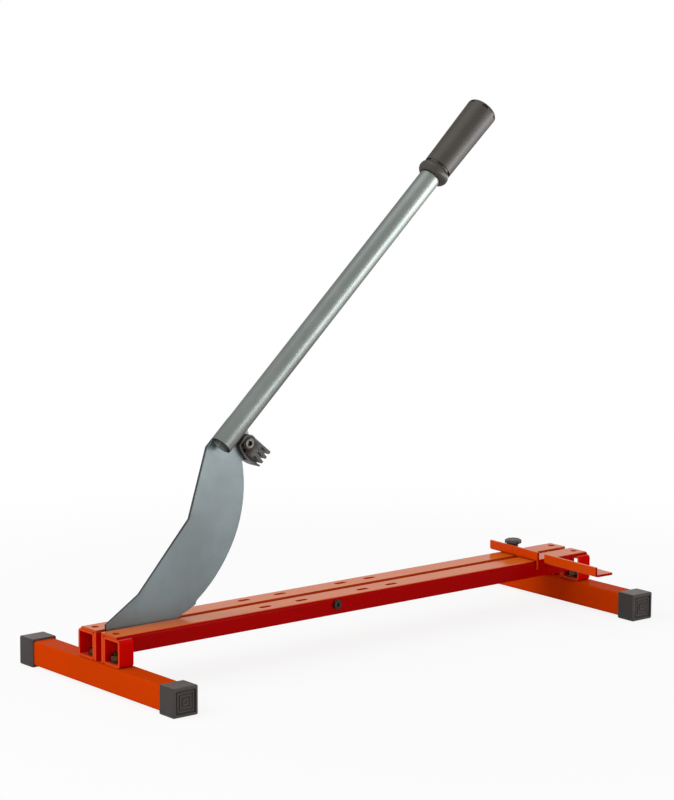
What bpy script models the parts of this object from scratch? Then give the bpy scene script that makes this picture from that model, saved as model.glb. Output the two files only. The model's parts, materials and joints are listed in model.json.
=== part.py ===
"""Laminate cutter: a lever blade that swings between two rails on a low steel frame.

All lengths are in metres and +Z is up. X runs along the rails, from the blade's pivot
towards the fence; Y runs along the feet, with the lever's tube on the -Y side. The
origin lies on the floor under the middle of the frame, and the lever stands half raised.
"""
import bpy
import bmesh
from math import acos, atan2, cos, hypot, pi, radians, sin, sqrt
from mathutils import Matrix, Vector

# Fits that the pieces share
TOUCH_GAP = 0.0003
HOLE_CLEARANCE = 0.0003
OVERRUN = 0.002
EDGE_BREAK = 0.0004
ROUND_SIDES = 20
FILLET_STEPS = 4
SMOOTH_ANGLE = radians(32)
WELD_DISTANCE = 0.00001

# Feet: square tube with a plastic cap pushed over each end
FOOT_SPACING = 0.738
FOOT_SPAN = 0.316
REAR_FOOT_SPAN = 0.301
FOOT_SECTION = 0.030
FOOT_WALL = 0.002
FOOT_CORNER = 0.003
FOOT_INNER_CORNER = 0.001
CAP_SECTION = 0.035
CAP_LENGTH = 0.0285
CAP_END_WALL = 0.003
CAP_CORNER = 0.0022
CAP_RING_SIZES = (0.024, 0.0165)
CAP_RING_WIDTH = 0.0014
CAP_RING_DEPTH = 0.0006

# Spacer boxes: short pieces of box section that lift the rails off the feet
BOX_WIDTH = 0.0322
BOX_HEIGHT = 0.0334
BOX_LENGTH = 0.020
BOX_WALL = 0.003
BOX_CORNER = 0.004
BOX_INNER_CORNER = 0.0012

# Rails: sheet folded to an L, the flange on the outer side
RAIL_GAP = 0.0104
RAIL_WIDTH = 0.0318
RAIL_WALL = 0.003
RAIL_DEPTH = 0.021
RAIL_BEND = 0.0038
FRONT_FLANGE_GAP = 0.001
REAR_FLANGE_GAP = 0.008
TAB_HOLE = 0.009
SLOT_LENGTH = 0.018
SLOT_WIDTH = 0.007
SLOT_PLACES = (0.219, 0.275, 0.372, 0.419, 0.668)
FENCE_SLOT = 4

# Plates between the boxes: the front pair carries the pivot
CHEEK_THICKNESS = 0.004
CHEEK_REACH = 0.014
CHEEK_UNDERSIDE = 0.0432
CHEEK_CORNER = 0.004

# Frame fasteners, one under each spacer box
BOLT_LINE = 0.0215
FRAME_BOLT = 0.008
FRAME_BOLT_HEAD_FLATS = 0.013
FRAME_BOLT_HEAD_HEIGHT = 0.0053
FRAME_BOLT_ACCESS = 0.018
FRAME_BOLT_TAIL = 0.003
FRAME_WASHER = 0.016
FRAME_WASHER_THICKNESS = 0.0016
FRAME_NUT_HEIGHT = 0.0065

# Pivot
PIVOT_FROM_FOOT = 0.024
PIVOT_HEIGHT = 0.0525
PIVOT_BOLT = 0.010
PIVOT_HEAD_FLATS = 0.017
PIVOT_HEAD_HEIGHT = 0.0064
PIVOT_NUT_HEIGHT = 0.008
PIVOT_BOLT_TAIL = 0.0028
PIVOT_WASHER = 0.018
PIVOT_WASHER_THICKNESS = 0.002
PIVOT_DISC = 0.020
PIVOT_BUSH = 0.014

# Tie bolt between the rail flanges
TIE_PLACE = 0.3175
TIE_HEIGHT = 0.0612
TIE_BOLT = 0.006
TIE_HEAD = 0.0115
TIE_HEAD_HEIGHT = 0.0035
TIE_SOCKET_FLATS = 0.004
TIE_SOCKET_DEPTH = 0.0018
TIE_SPACER = 0.0094
TIE_WASHER = 0.012
TIE_WASHER_THICKNESS = 0.0016
TIE_NUT_FLATS = 0.010
TIE_NUT_HEIGHT = 0.006
TIE_BOLT_TAIL = 0.0014

# Lever: every place along it is measured from the pivot, along the tube
LEVER_REST_ANGLE = radians(42.99)
BLADE_THICKNESS = 0.004
BLADE_REACH = 0.293
BLADE_DEPTH = 0.126
BLADE_HEEL = 0.0115
BLADE_CORNER = 0.009
BLADE_TOP_OVER_AXIS = 0.0050
TUBE_DIAMETER = 0.0269
TUBE_WALL = 0.002
TUBE_LIFT = 0.0715
TUBE_OVERLAP = 0.0453
LEVER_REACH = 0.8138
TUBE_SIDES = 32

# Grip
GRIP_LENGTH = 0.120
GRIP_INNER_DIAMETER = 0.0360
GRIP_OUTER_DIAMETER = 0.0404
GRIP_COLLAR_DIAMETER = 0.0402
GRIP_COLLAR_MOUTH = 0.0310
GRIP_COLLAR_LENGTH = 0.0138
GRIP_COLLAR_BULGE = 0.0076
GRIP_GROOVE_LENGTH = 0.0024
GRIP_GROOVE_DEPTH = 0.0009
GRIP_END_WALL = 0.005
GRIP_END_ROUND = 0.005
GRIP_END_CROWN = 0.002
GRIP_NOTCH_WIDTH = 0.0078
GRIP_NOTCH_LENGTH = 0.0024
GRIP_NOTCH_DEPTH = 0.0022
GRIP_NOTCHES = 6
GRIP_NOTCH_TURN = radians(25.5)
GRIP_SIDES = 36

# Buffer that straddles the blade and lands on the rails
BUFFER_SCREW_SETBACK = 0.0177
BUFFER_SCREW_DROP = 0.0352
BUFFER_BOSS = 0.0105
BUFFER_LENGTH = 0.0295
BUFFER_LEFT_REACH = 0.0150
BUFFER_WIDTH = 0.017
BUFFER_SHOULDER = 0.0110
BUFFER_SHOULDER_LIFT = 0.0086
BUFFER_BELLY_DROP = 0.0120
BUFFER_DROP = 0.0329
BUFFER_WAIST = 0.0107
BUFFER_WAIST_DROP = 0.0040
BUFFER_TINES = 4
TINE_LENGTH = 0.0150
TINE_WIDTH = 0.0046
TINE_GAP = 0.0028
TINE_ROOT_STEP = 0.0006
TINE_TAPER = 0.0008
BUFFER_SCREW = 0.008
BUFFER_SCREW_HEAD = 0.013
BUFFER_SCREW_HEAD_HEIGHT = 0.0065
BUFFER_SCREW_SOCKET = 0.006
BUFFER_SCREW_SOCKET_DEPTH = 0.004
BUFFER_SCREW_SINK = 0.0045
BUFFER_NUT_FLATS = 0.013
BUFFER_NUT_HEIGHT = 0.0065
BUFFER_SCREW_TAIL = 0.0022

# Fence: folded plate clamped on the left rail
FENCE_REST_ANGLE = radians(-2.5)
FENCE_THICKNESS = 0.003
FENCE_BEND = 0.004
FENCE_FACE_OFFSET = 0.0145
FENCE_DEPTH = 0.029
FENCE_HEIGHT = 0.0132
FENCE_LEFT = 0.030
FENCE_RIGHT = 0.1778
FENCE_LUG_LENGTH = 0.016
FENCE_LUG_DROP = 0.0115
FENCE_LUG_SLACK = 0.001
FENCE_NOTCH_START = 0.0032
FENCE_NOTCH_WIDTH = 0.0135

# Fence clamp
CLAMP_BOLT = 0.006
CLAMP_HEAD = 0.014
CLAMP_HEAD_HEIGHT = 0.0032
CLAMP_NECK_HEIGHT = 0.0024
CLAMP_WASHER = 0.016
CLAMP_WASHER_THICKNESS = 0.0016
KNOB_DIAMETER = 0.0222
KNOB_HEIGHT = 0.0128
KNOB_HEAD_HEIGHT = 0.0062
KNOB_HUB = 0.0134
KNOB_LOBE_DEPTH = 0.0012
KNOB_LOBES = 8
KNOB_LOBE_POINTS = 5
KNOB_EDGE = 0.0012
KNOB_INSERT = 0.009
KNOB_INSERT_LENGTH = 0.0105
KNOB_BOLT_SHORTFALL = 0.0015

# Heights and lines that follow from the sizes above
FOOT_BOTTOM = (CAP_SECTION - FOOT_SECTION) / 2
FOOT_TOP = FOOT_BOTTOM + FOOT_SECTION
BOX_BOTTOM = FOOT_TOP + TOUCH_GAP
BOX_TOP = BOX_BOTTOM + BOX_HEIGHT
RAIL_UNDERSIDE = BOX_TOP + TOUCH_GAP
RAIL_TOP = RAIL_UNDERSIDE + RAIL_WALL
RAIL_INNER = RAIL_GAP / 2
RAIL_OUTER = RAIL_INNER + RAIL_WIDTH
CHEEK_INNER = RAIL_INNER + TOUCH_GAP
CHEEK_OUTER = CHEEK_INNER + CHEEK_THICKNESS
BOX_INNER = CHEEK_OUTER + TOUCH_GAP
FRONT_X = -FOOT_SPACING / 2
REAR_X = FOOT_SPACING / 2
PIVOT_X = FRONT_X + PIVOT_FROM_FOOT
TUBE_SIDE = BLADE_THICKNESS / 2 + TOUCH_GAP + TUBE_DIAMETER / 2

# Directions in which a flat outline can be drawn and pulled out
ALONG_X = Matrix(((0, 0, 1), (1, 0, 0), (0, 1, 0))).to_4x4()
ALONG_Y = Matrix(((1, 0, 0), (0, 0, -1), (0, 1, 0))).to_4x4()
ALONG_Z = Matrix.Identity(4)

# Outline of the blade, in shares of its reach along the tube and its depth across it
FRONT_TOE_SHARES = (-0.041, 0.175)
FRONT_TIP_SHARES = (-0.0065, 0.268)
BACK_KINK_SHARES = (0.180, 0.1856)
BACK_TURN_SHARES = (0.5514, 0.2614)
BACK_CORNER_SHARE = 0.8122
EDGE_TOP_SHARES = (0.8952, 0.2032)
EDGE_SHOULDER_SHARES = (0.7825, -0.0994)
EDGE_BELLY_SHARES = (0.5683, -0.3459)
EDGE_LOW_SHARES = (0.4549, -0.3881)
EDGE_STEP_SHARES = (0.3458, -0.381)
EDGE_STEP_FOOT_SHARES = (0.3294, -0.3985)
EDGE_FOOT_SHARES = (0.2374, -0.3300)
LUG_NECK_SHARES = (1, 0.369)
LUG_BEND_SHARES = (0.984, 0.290)
LUG_DROP_SHARE = 0.173
HEEL_START_SHARE = 0.50


def clear_scene():
    for thing in list(bpy.data.objects):
        bpy.data.objects.remove(thing, do_unlink=True)


def new_collection(name):
    group = bpy.data.collections.new(name)
    bpy.context.scene.collection.children.link(group)
    return group


def new_material(name, colour, roughness, metallic):
    material = bpy.data.materials.new(name)
    material.use_nodes = True
    shader = material.node_tree.nodes["Principled BSDF"]
    shader.inputs["Base Color"].default_value = (*colour, 1)
    shader.inputs["Roughness"].default_value = roughness
    shader.inputs["Metallic"].default_value = metallic
    material.diffuse_color = (*colour, 1)
    return material


def new_empty(name, location, rotation=(0, 0, 0), parent=None):
    empty = bpy.data.objects.new(name, None)
    empty.location = location
    empty.rotation_euler = rotation
    empty.parent = parent
    PARTS.objects.link(empty)
    return empty


def smooth(mesh):
    mesh.shade_smooth()
    mesh.set_sharp_from_angle(angle=SMOOTH_ANGLE)


def add_part(name, mesh, material, place, parent=None):
    smooth(mesh)
    part = bpy.data.objects.new(name, mesh)
    mesh.name = name
    mesh.materials.clear()
    mesh.materials.append(material)
    part.parent = parent
    part.matrix_basis = place
    PARTS.objects.link(part)
    return part


def add_cutter(name, mesh, place, parent=None):
    cutter = bpy.data.objects.new(name, mesh)
    mesh.name = name
    cutter.parent = parent
    cutter.matrix_basis = place
    cutter.hide_render = True
    cutter.display_type = "WIRE"
    CUTTERS.objects.link(cutter)
    return cutter


def cut(part, cutter, operation="DIFFERENCE"):
    boolean = part.modifiers.new(cutter.name, "BOOLEAN")
    boolean.operation = operation
    boolean.solver = "EXACT"
    boolean.object = cutter


def bevel(part, width, segments=2):
    edges = part.modifiers.new("rounded edges", "BEVEL")
    edges.width = width
    edges.segments = segments
    edges.limit_method = "ANGLE"
    edges.angle_limit = SMOOTH_ANGLE


def at(x=0, y=0, z=0, direction=ALONG_Z):
    return Matrix.Translation((x, y, z)) @ direction


def arc(centre, radius, start, end, steps):
    points = []
    for step in range(steps + 1):
        angle = start + (end - start) * step / steps
        points.append((centre[0] + radius * cos(angle), centre[1] + radius * sin(angle)))
    return points


def circle(radius, centre=(0, 0), sides=None):
    sides = sides or ROUND_SIDES
    return arc(centre, radius, 0, 2 * pi * (sides - 1) / sides, sides - 1)


def hexagon(flats, centre=(0, 0)):
    return circle(flats / sqrt(3), centre, 6)


def rectangle(low_x, low_y, high_x, high_y):
    return [(low_x, low_y), (high_x, low_y), (high_x, high_y), (low_x, high_y)]


def filleted(corners, steps=FILLET_STEPS):
    """Outline through corners of (point, radius), each rounded by its radius."""
    points = []
    for index, (corner, radius) in enumerate(corners):
        if radius == 0:
            points.append(tuple(corner))
            continue
        here = Vector(corner)
        before = (Vector(corners[index - 1][0]) - here).normalized()
        after = (Vector(corners[(index + 1) % len(corners)][0]) - here).normalized()
        half = before.angle(after) / 2
        centre = here + (before + after).normalized() * radius / sin(half)
        first = here + before * radius * cos(half) / sin(half) - centre
        last = here + after * radius * cos(half) / sin(half) - centre
        sweep = first.angle_signed(last) * -1
        start = atan2(first.y, first.x)
        points.extend(arc(centre, radius, start, start + sweep, steps))
    return points


def rounded_rectangle(width, height, radius, centre=(0, 0)):
    x, y = centre
    corners = rectangle(x - width / 2, y - height / 2, x + width / 2, y + height / 2)
    return filleted([(corner, radius) for corner in corners])


def stadium(length, width, centre):
    x, y = centre
    half = (length - width) / 2
    right = arc((x + half, y), width / 2, -pi / 2, pi / 2, ROUND_SIDES // 2)
    left = arc((x - half, y), width / 2, pi / 2, 3 * pi / 2, ROUND_SIDES // 2)
    return right + left


def arc_through(first, middle, last, steps):
    """Points on the circle through three places, from the first to the last."""
    a, b, c = Vector(first), Vector(middle), Vector(last)
    area = 2 * (a.x * (b.y - c.y) + b.x * (c.y - a.y) + c.x * (a.y - b.y))
    x = (a.dot(a) * (b.y - c.y) + b.dot(b) * (c.y - a.y) + c.dot(c) * (a.y - b.y)) / area
    y = (a.dot(a) * (c.x - b.x) + b.dot(b) * (a.x - c.x) + c.dot(c) * (b.x - a.x)) / area
    centre = Vector((x, y))
    start = (a - centre)
    sweep = -start.angle_signed(c - centre)
    angle = atan2(start.y, start.x)
    return arc(centre, start.length, angle, angle + sweep, steps)


def pulled_outline(name, loops, thickness):
    """Mesh of flat outlines, each a closed loop, pulled out to a thickness."""
    curve = bpy.data.curves.new(name, "CURVE")
    curve.dimensions = "2D"
    curve.fill_mode = "BOTH"
    curve.extrude = thickness / 2
    for loop in loops:
        spline = curve.splines.new("POLY")
        spline.points.add(len(loop) - 1)
        for point, (x, y) in zip(spline.points, loop):
            point.co = (x, y, 0, 1)
        spline.use_cyclic_u = True
    drawn = bpy.data.objects.new(name, curve)
    PARTS.objects.link(drawn)
    graph = bpy.context.evaluated_depsgraph_get()
    mesh = bpy.data.meshes.new_from_object(drawn.evaluated_get(graph))
    bpy.data.objects.remove(drawn)
    bpy.data.curves.remove(curve)
    weld(mesh)
    return mesh


def weld(mesh):
    solid = bmesh.new()
    solid.from_mesh(mesh)
    bmesh.ops.remove_doubles(solid, verts=solid.verts, dist=WELD_DISTANCE)
    bmesh.ops.recalc_face_normals(solid, faces=solid.faces)
    solid.to_mesh(mesh)
    solid.free()


def block_mesh(name, size, centre=(0, 0, 0)):
    mesh = bpy.data.meshes.new(name)
    solid = bmesh.new()
    bmesh.ops.create_cube(solid, size=1)
    bmesh.ops.scale(solid, vec=size, verts=solid.verts)
    bmesh.ops.translate(solid, vec=centre, verts=solid.verts)
    solid.to_mesh(mesh)
    solid.free()
    return mesh


def rods_mesh(name, rods, sides=None):
    """Mesh of round rods, each given as centre, radius and length along Z."""
    mesh = bpy.data.meshes.new(name)
    solid = bmesh.new()
    for centre, radius, length in rods:
        bmesh.ops.create_cone(solid, cap_ends=True, segments=sides or ROUND_SIDES, radius1=radius,
                              radius2=radius, depth=length, matrix=Matrix.Translation(centre))
    solid.to_mesh(mesh)
    solid.free()
    return mesh


def turned_part(name, profile, material, place, parent=None, sides=None):
    """Part turned about its own Z from a profile of (radius, height), listed from the top down."""
    mesh = bpy.data.meshes.new(name)
    mesh.from_pydata([(radius, 0, height) for radius, height in profile],
                     [(index, index + 1) for index in range(len(profile) - 1)], [])
    part = add_part(name, mesh, material, place, parent)
    screw = part.modifiers.new("turned", "SCREW")
    screw.steps = sides or ROUND_SIDES
    screw.render_steps = screw.steps
    screw.use_merge_vertices = True
    screw.merge_threshold = WELD_DISTANCE
    screw.use_smooth_shade = True
    return part


def ring(name, outer, inner, thickness, material, place, parent=None):
    mesh = pulled_outline(name, [circle(outer / 2), circle(inner / 2)], thickness)
    add_part(name, mesh, material, place, parent)


def nut(name, flats, bolt, height, material, place, parent=None):
    mesh = pulled_outline(name, [hexagon(flats), circle(bolt / 2 + HOLE_CLEARANCE)], height)
    add_part(name, mesh, material, place, parent)


def joined(part, name, mesh, place, parent=None):
    cut(part, add_cutter(name, mesh, place, parent), "UNION")


def add_feet():
    section = [rounded_rectangle(FOOT_SECTION, FOOT_SECTION, FOOT_CORNER),
               rounded_rectangle(FOOT_SECTION - 2 * FOOT_WALL, FOOT_SECTION - 2 * FOOT_WALL,
                                 FOOT_INNER_CORNER)]
    middle = FOOT_BOTTOM + FOOT_SECTION / 2
    for end, x, span in (("front", FRONT_X, FOOT_SPAN), ("rear", REAR_X, REAR_FOOT_SPAN)):
        mesh = pulled_outline("foot section", section, span - 2 * (CAP_END_WALL + TOUCH_GAP))
        tube = add_part(f"foot_tube_{end}", mesh, PAINT, at(x, 0, middle, ALONG_Y))
        reach = FOOT_WALL + 2 * OVERRUN
        rods = []
        for y in (-BOLT_LINE, BOLT_LINE):
            rods.append(((0, y, FOOT_TOP - FOOT_WALL / 2), FRAME_BOLT / 2 + HOLE_CLEARANCE, reach))
            rods.append(((0, y, FOOT_BOTTOM + FOOT_WALL / 2), FRAME_BOLT_ACCESS / 2, reach))
        cut(tube, add_cutter(f"foot holes {end}", rods_mesh("foot holes", rods), at(x)))
        for side, turn in (("left", 0), ("right", pi)):
            add_cap(f"foot_cap_{end}_{side}", at(x) @ Matrix.Rotation(turn, 4, "Z"), span / 2)


def add_cap(name, place, end):
    """Cap drawn for the +Y end of a foot, with its closed end outwards at that distance."""
    middle = CAP_SECTION / 2
    mesh = block_mesh(name, (CAP_SECTION, CAP_LENGTH, CAP_SECTION), (0, end - CAP_LENGTH / 2, middle))
    cap = add_part(name, mesh, PLASTIC, place)
    bevel(cap, CAP_CORNER)
    hollow = FOOT_SECTION + 2 * TOUCH_GAP
    depth = CAP_LENGTH - CAP_END_WALL
    cavity = pulled_outline("cap cavity", [rounded_rectangle(hollow, hollow, FOOT_CORNER)],
                            depth + OVERRUN)
    cavity_y = end - CAP_END_WALL - (depth + OVERRUN) / 2
    cut(cap, add_cutter(f"{name} cavity", cavity, place @ at(0, cavity_y, middle, ALONG_Y)))
    loops = []
    for size in CAP_RING_SIZES:
        inner = size - 2 * CAP_RING_WIDTH
        loops.append(rectangle(-size / 2, -size / 2, size / 2, size / 2))
        loops.append(rectangle(-inner / 2, -inner / 2, inner / 2, inner / 2))
    rings = pulled_outline("cap rings", loops, 2 * CAP_RING_DEPTH)
    cut(cap, add_cutter(f"{name} rings", rings, place @ at(0, end, middle, ALONG_Y)))


def add_boxes():
    section = [rounded_rectangle(BOX_WIDTH, BOX_HEIGHT, BOX_CORNER),
               rounded_rectangle(BOX_WIDTH - 2 * BOX_WALL, BOX_HEIGHT - 2 * BOX_WALL,
                                 BOX_INNER_CORNER)]
    middle_y = BOX_INNER + BOX_WIDTH / 2
    middle_z = BOX_BOTTOM + BOX_HEIGHT / 2
    reach = BOX_WALL + 2 * OVERRUN
    for end, x in (("front", FRONT_X), ("rear", REAR_X)):
        for side, sign in (("left", 1), ("right", -1)):
            name = f"spacer_box_{end}_{side}"
            mesh = pulled_outline(name, section, BOX_LENGTH)
            box = add_part(name, mesh, PAINT, at(x, sign * middle_y, middle_z, ALONG_X))
            rods = [((0, 0, BOX_BOTTOM + BOX_WALL / 2), FRAME_BOLT / 2 + HOLE_CLEARANCE, reach),
                    ((0, 0, BOX_TOP - BOX_WALL / 2), TAB_HOLE / 2, reach)]
            holes = rods_mesh(f"{name} holes", rods)
            cut(box, add_cutter(f"{name} holes", holes, at(x, sign * BOLT_LINE)))


def add_cheeks():
    """Plates in the gap between the boxes; the front ones reach back to the pivot."""
    low = BOX_BOTTOM - PIVOT_HEIGHT
    step = CHEEK_UNDERSIDE - PIVOT_HEIGHT
    high = BOX_TOP - PIVOT_HEIGHT
    back = FRONT_X - BOX_LENGTH / 2 - PIVOT_X
    box_end = back + BOX_LENGTH
    outline = filleted([((back, low), 0), ((box_end, low), 0), ((box_end, step), 0),
                        ((CHEEK_REACH, step), CHEEK_CORNER), ((CHEEK_REACH, high), CHEEK_CORNER),
                        ((back, high), 0)])
    hole = circle(PIVOT_BOLT / 2 + HOLE_CLEARANCE)
    middle_y = CHEEK_INNER + CHEEK_THICKNESS / 2
    middle_z = BOX_BOTTOM + BOX_HEIGHT / 2
    for side, sign in (("left", 1), ("right", -1)):
        cheek = pulled_outline("pivot cheek", [outline, hole], CHEEK_THICKNESS)
        add_part(f"pivot_cheek_{side}", cheek, PAINT,
                 at(PIVOT_X, sign * middle_y, PIVOT_HEIGHT, ALONG_Y))
        strip = block_mesh("gap strip", (BOX_LENGTH, CHEEK_THICKNESS, BOX_HEIGHT))
        add_part(f"gap_strip_{side}", strip, PAINT, at(REAR_X, sign * middle_y, middle_z))


def add_rails():
    length = FOOT_SPACING + BOX_LENGTH
    low = RAIL_TOP - RAIL_DEPTH
    box_far = BOX_LENGTH / 2
    flange_start = FRONT_X + box_far + FRONT_FLANGE_GAP
    flange_end = REAR_X - box_far - REAR_FLANGE_GAP
    inner_bend = RAIL_BEND - RAIL_WALL
    tie = rods_mesh("tie holes", [((0, 0, 0), TIE_BOLT / 2 + HOLE_CLEARANCE,
                                   2 * (RAIL_OUTER + OVERRUN))])
    tie_cutter = add_cutter("tie holes", tie, at(FRONT_X + TIE_PLACE, 0, TIE_HEIGHT, ALONG_Y))
    for side, sign in (("left", 1), ("right", -1)):
        inner = RAIL_INNER
        outer = RAIL_OUTER
        corners = [((inner, RAIL_UNDERSIDE), 0), ((outer - RAIL_WALL, RAIL_UNDERSIDE), inner_bend),
                   ((outer - RAIL_WALL, low), 0), ((outer, low), 0),
                   ((outer, RAIL_TOP), RAIL_BEND), ((inner, RAIL_TOP), 0)]
        profile = [(sign * y, z) for y, z in filleted(corners)]
        rail = add_part(f"rail_{side}", pulled_outline("rail section", [profile], length), PAINT,
                        at(direction=ALONG_X))
        cut_y = (RAIL_WALL + inner_bend + 2 * OVERRUN)
        cut_top = RAIL_UNDERSIDE - TOUCH_GAP / 2
        cut_z = cut_top - low + OVERRUN
        centre_y = outer + OVERRUN - cut_y / 2
        for end, near, far in (("front", -length / 2 - OVERRUN, flange_start),
                               ("rear", flange_end, length / 2 + OVERRUN)):
            relief = block_mesh("flange relief", (far - near, cut_y, cut_z))
            place = at((near + far) / 2, sign * centre_y, cut_top - cut_z / 2)
            cut(rail, add_cutter(f"flange relief {end} {side}", relief, place))
        loops = [stadium(SLOT_LENGTH, SLOT_WIDTH, (FRONT_X + x, sign * BOLT_LINE))
                 for x in SLOT_PLACES]
        loops += [circle(TAB_HOLE / 2, (x, sign * BOLT_LINE)) for x in (FRONT_X, REAR_X)]
        slots = pulled_outline("rail slots", loops, RAIL_WALL + 2 * OVERRUN)
        cut(rail, add_cutter(f"rail slots {side}", slots, at(z=RAIL_TOP - RAIL_WALL / 2)))
        cut(rail, tie_cutter)


def add_frame_fasteners():
    seat = FOOT_TOP - FOOT_WALL - TOUCH_GAP
    washer_low = BOX_BOTTOM + BOX_WALL + TOUCH_GAP
    nut_low = washer_low + FRAME_WASHER_THICKNESS + TOUCH_GAP
    tip = nut_low + FRAME_NUT_HEIGHT + FRAME_BOLT_TAIL
    shank_length = tip - seat + FRAME_BOLT_HEAD_HEIGHT / 2
    hole = FRAME_BOLT + 2 * HOLE_CLEARANCE
    for end, x in (("front", FRONT_X), ("rear", REAR_X)):
        for side, y in (("left", BOLT_LINE), ("right", -BOLT_LINE)):
            spot = f"{end}_{side}"
            place = at(x, y)
            head = pulled_outline("bolt head", [hexagon(FRAME_BOLT_HEAD_FLATS)],
                                  FRAME_BOLT_HEAD_HEIGHT)
            bolt = add_part(f"frame_bolt_{spot}", head, ZINC,
                            place @ at(z=seat - FRAME_BOLT_HEAD_HEIGHT / 2))
            shank = rods_mesh("frame shank", [((0, 0, 0), FRAME_BOLT / 2, shank_length)])
            joined(bolt, f"frame shank {spot}", shank, place @ at(z=tip - shank_length / 2))
            ring(f"frame_washer_{spot}", FRAME_WASHER, hole, FRAME_WASHER_THICKNESS, ZINC,
                 place @ at(z=washer_low + FRAME_WASHER_THICKNESS / 2))
            nut(f"frame_nut_{spot}", FRAME_BOLT_HEAD_FLATS, FRAME_BOLT, FRAME_NUT_HEIGHT, ZINC,
                place @ at(z=nut_low + FRAME_NUT_HEIGHT / 2))


def socket_screw(name, head, head_height, bolt, socket, socket_depth, seat, tip, place, parent=None):
    """Round-headed screw drawn along its own Z: the head's seat and the tip are heights on it."""
    top = seat + head_height
    length = top - head_height / 2 - tip
    screw = add_part(name, rods_mesh(name, [((0, 0, seat + head_height / 2), head / 2, head_height)]),
                     DARK_STEEL, place, parent)
    bevel(screw, EDGE_BREAK, 1)
    shank = rods_mesh(f"{name} shank", [((0, 0, tip + length / 2), bolt / 2, length)])
    joined(screw, f"{name} shank", shank, place, parent)
    drive = pulled_outline(f"{name} socket", [hexagon(socket)], 2 * socket_depth)
    cut(screw, add_cutter(f"{name} socket", drive, place @ at(z=top), parent))


def add_tie():
    place = at(FRONT_X + TIE_PLACE, 0, TIE_HEIGHT, ALONG_Y)
    side = RAIL_OUTER + TOUCH_GAP
    washer = side + TIE_WASHER_THICKNESS
    nut_near = washer + TOUCH_GAP
    tip = nut_near + TIE_NUT_HEIGHT + TIE_BOLT_TAIL
    socket_screw("tie_bolt", TIE_HEAD, TIE_HEAD_HEIGHT, TIE_BOLT, TIE_SOCKET_FLATS, TIE_SOCKET_DEPTH,
                 side, -tip, place)
    hole = TIE_BOLT + 2 * HOLE_CLEARANCE
    ring("tie_washer", TIE_WASHER, hole, TIE_WASHER_THICKNESS, ZINC,
         place @ at(z=-(side + washer) / 2))
    nut("tie_nut", TIE_NUT_FLATS, TIE_BOLT, TIE_NUT_HEIGHT, ZINC,
        place @ at(z=-nut_near - TIE_NUT_HEIGHT / 2))
    spacer_length = 2 * (RAIL_OUTER - RAIL_WALL - TOUCH_GAP)
    ring("tie_spacer", TIE_SPACER, hole, spacer_length, ZINC, place)


def pair_on_pivot(name, outer, thickness, near, material, place):
    """Two rings on the pivot bolt, one on each side of the blade."""
    for side, sign in (("left", -1), ("right", 1)):
        ring(f"{name}_{side}", outer, PIVOT_BOLT + 2 * HOLE_CLEARANCE, thickness, material,
             place @ at(z=sign * (near + thickness / 2)))


def add_pivot():
    place = at(PIVOT_X, 0, PIVOT_HEIGHT, ALONG_Y)
    disc_near = BLADE_THICKNESS / 2 + TOUCH_GAP
    disc_thickness = CHEEK_INNER - TOUCH_GAP - disc_near
    pair_on_pivot("pivot_disc", PIVOT_DISC, disc_thickness, disc_near, NYLON, place)
    washer_near = CHEEK_OUTER + TOUCH_GAP
    pair_on_pivot("pivot_washer", PIVOT_WASHER, PIVOT_WASHER_THICKNESS, washer_near, ZINC, place)
    seat = washer_near + PIVOT_WASHER_THICKNESS + TOUCH_GAP
    tip = -(seat + PIVOT_NUT_HEIGHT + PIVOT_BOLT_TAIL)
    head = pulled_outline("pivot head", [hexagon(PIVOT_HEAD_FLATS)], PIVOT_HEAD_HEIGHT)
    bolt = add_part("pivot_bolt", head, ZINC, place @ at(z=seat + PIVOT_HEAD_HEIGHT / 2))
    length = seat + PIVOT_HEAD_HEIGHT / 2 - tip
    shank = rods_mesh("pivot shank", [((0, 0, tip + length / 2), PIVOT_BOLT / 2, length)])
    joined(bolt, "pivot shank", shank, place)
    nut("pivot_nut", PIVOT_HEAD_FLATS, PIVOT_BOLT, PIVOT_NUT_HEIGHT, ZINC,
        place @ at(z=-seat - PIVOT_NUT_HEIGHT / 2))


def blade_outline():
    """Outline in the lever's own plane, clockwise from the toe beside the pivot."""
    def spot(shares):
        return (shares[0] * BLADE_REACH, shares[1] * BLADE_DEPTH)

    top = TUBE_LIFT + BLADE_TOP_OVER_AXIS
    corner = BACK_CORNER_SHARE * BLADE_REACH
    lug = LUG_DROP_SHARE * BLADE_DEPTH
    back = [spot(FRONT_TOE_SHARES), spot(FRONT_TIP_SHARES), spot(BACK_KINK_SHARES)]
    upper = filleted([(spot(BACK_TURN_SHARES), 0), ((corner, top), BLADE_CORNER / 2),
                      ((BLADE_REACH, top), BLADE_CORNER), (spot(LUG_NECK_SHARES), 0),
                      (spot(LUG_BEND_SHARES), 0), ((spot(LUG_BEND_SHARES)[0], lug), BLADE_CORNER / 2),
                      (spot(EDGE_TOP_SHARES), 0)])[:-1]
    edge = arc_through(spot(EDGE_TOP_SHARES), spot(EDGE_SHOULDER_SHARES), spot(EDGE_BELLY_SHARES), 10)
    low = arc_through(spot(EDGE_BELLY_SHARES), spot(EDGE_LOW_SHARES), spot(EDGE_STEP_SHARES), 5)[1:]
    foot = [spot(EDGE_STEP_FOOT_SHARES), spot(EDGE_FOOT_SHARES)]
    heel_start = -pi * HEEL_START_SHARE
    toe = spot(FRONT_TOE_SHARES)
    heel_end = atan2(toe[1], toe[0]) - 2 * pi + acos(BLADE_HEEL / hypot(*toe))
    heel = arc((0, 0), BLADE_HEEL, heel_start, heel_end, 8)
    return back + upper + edge + low + foot + heel


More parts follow.
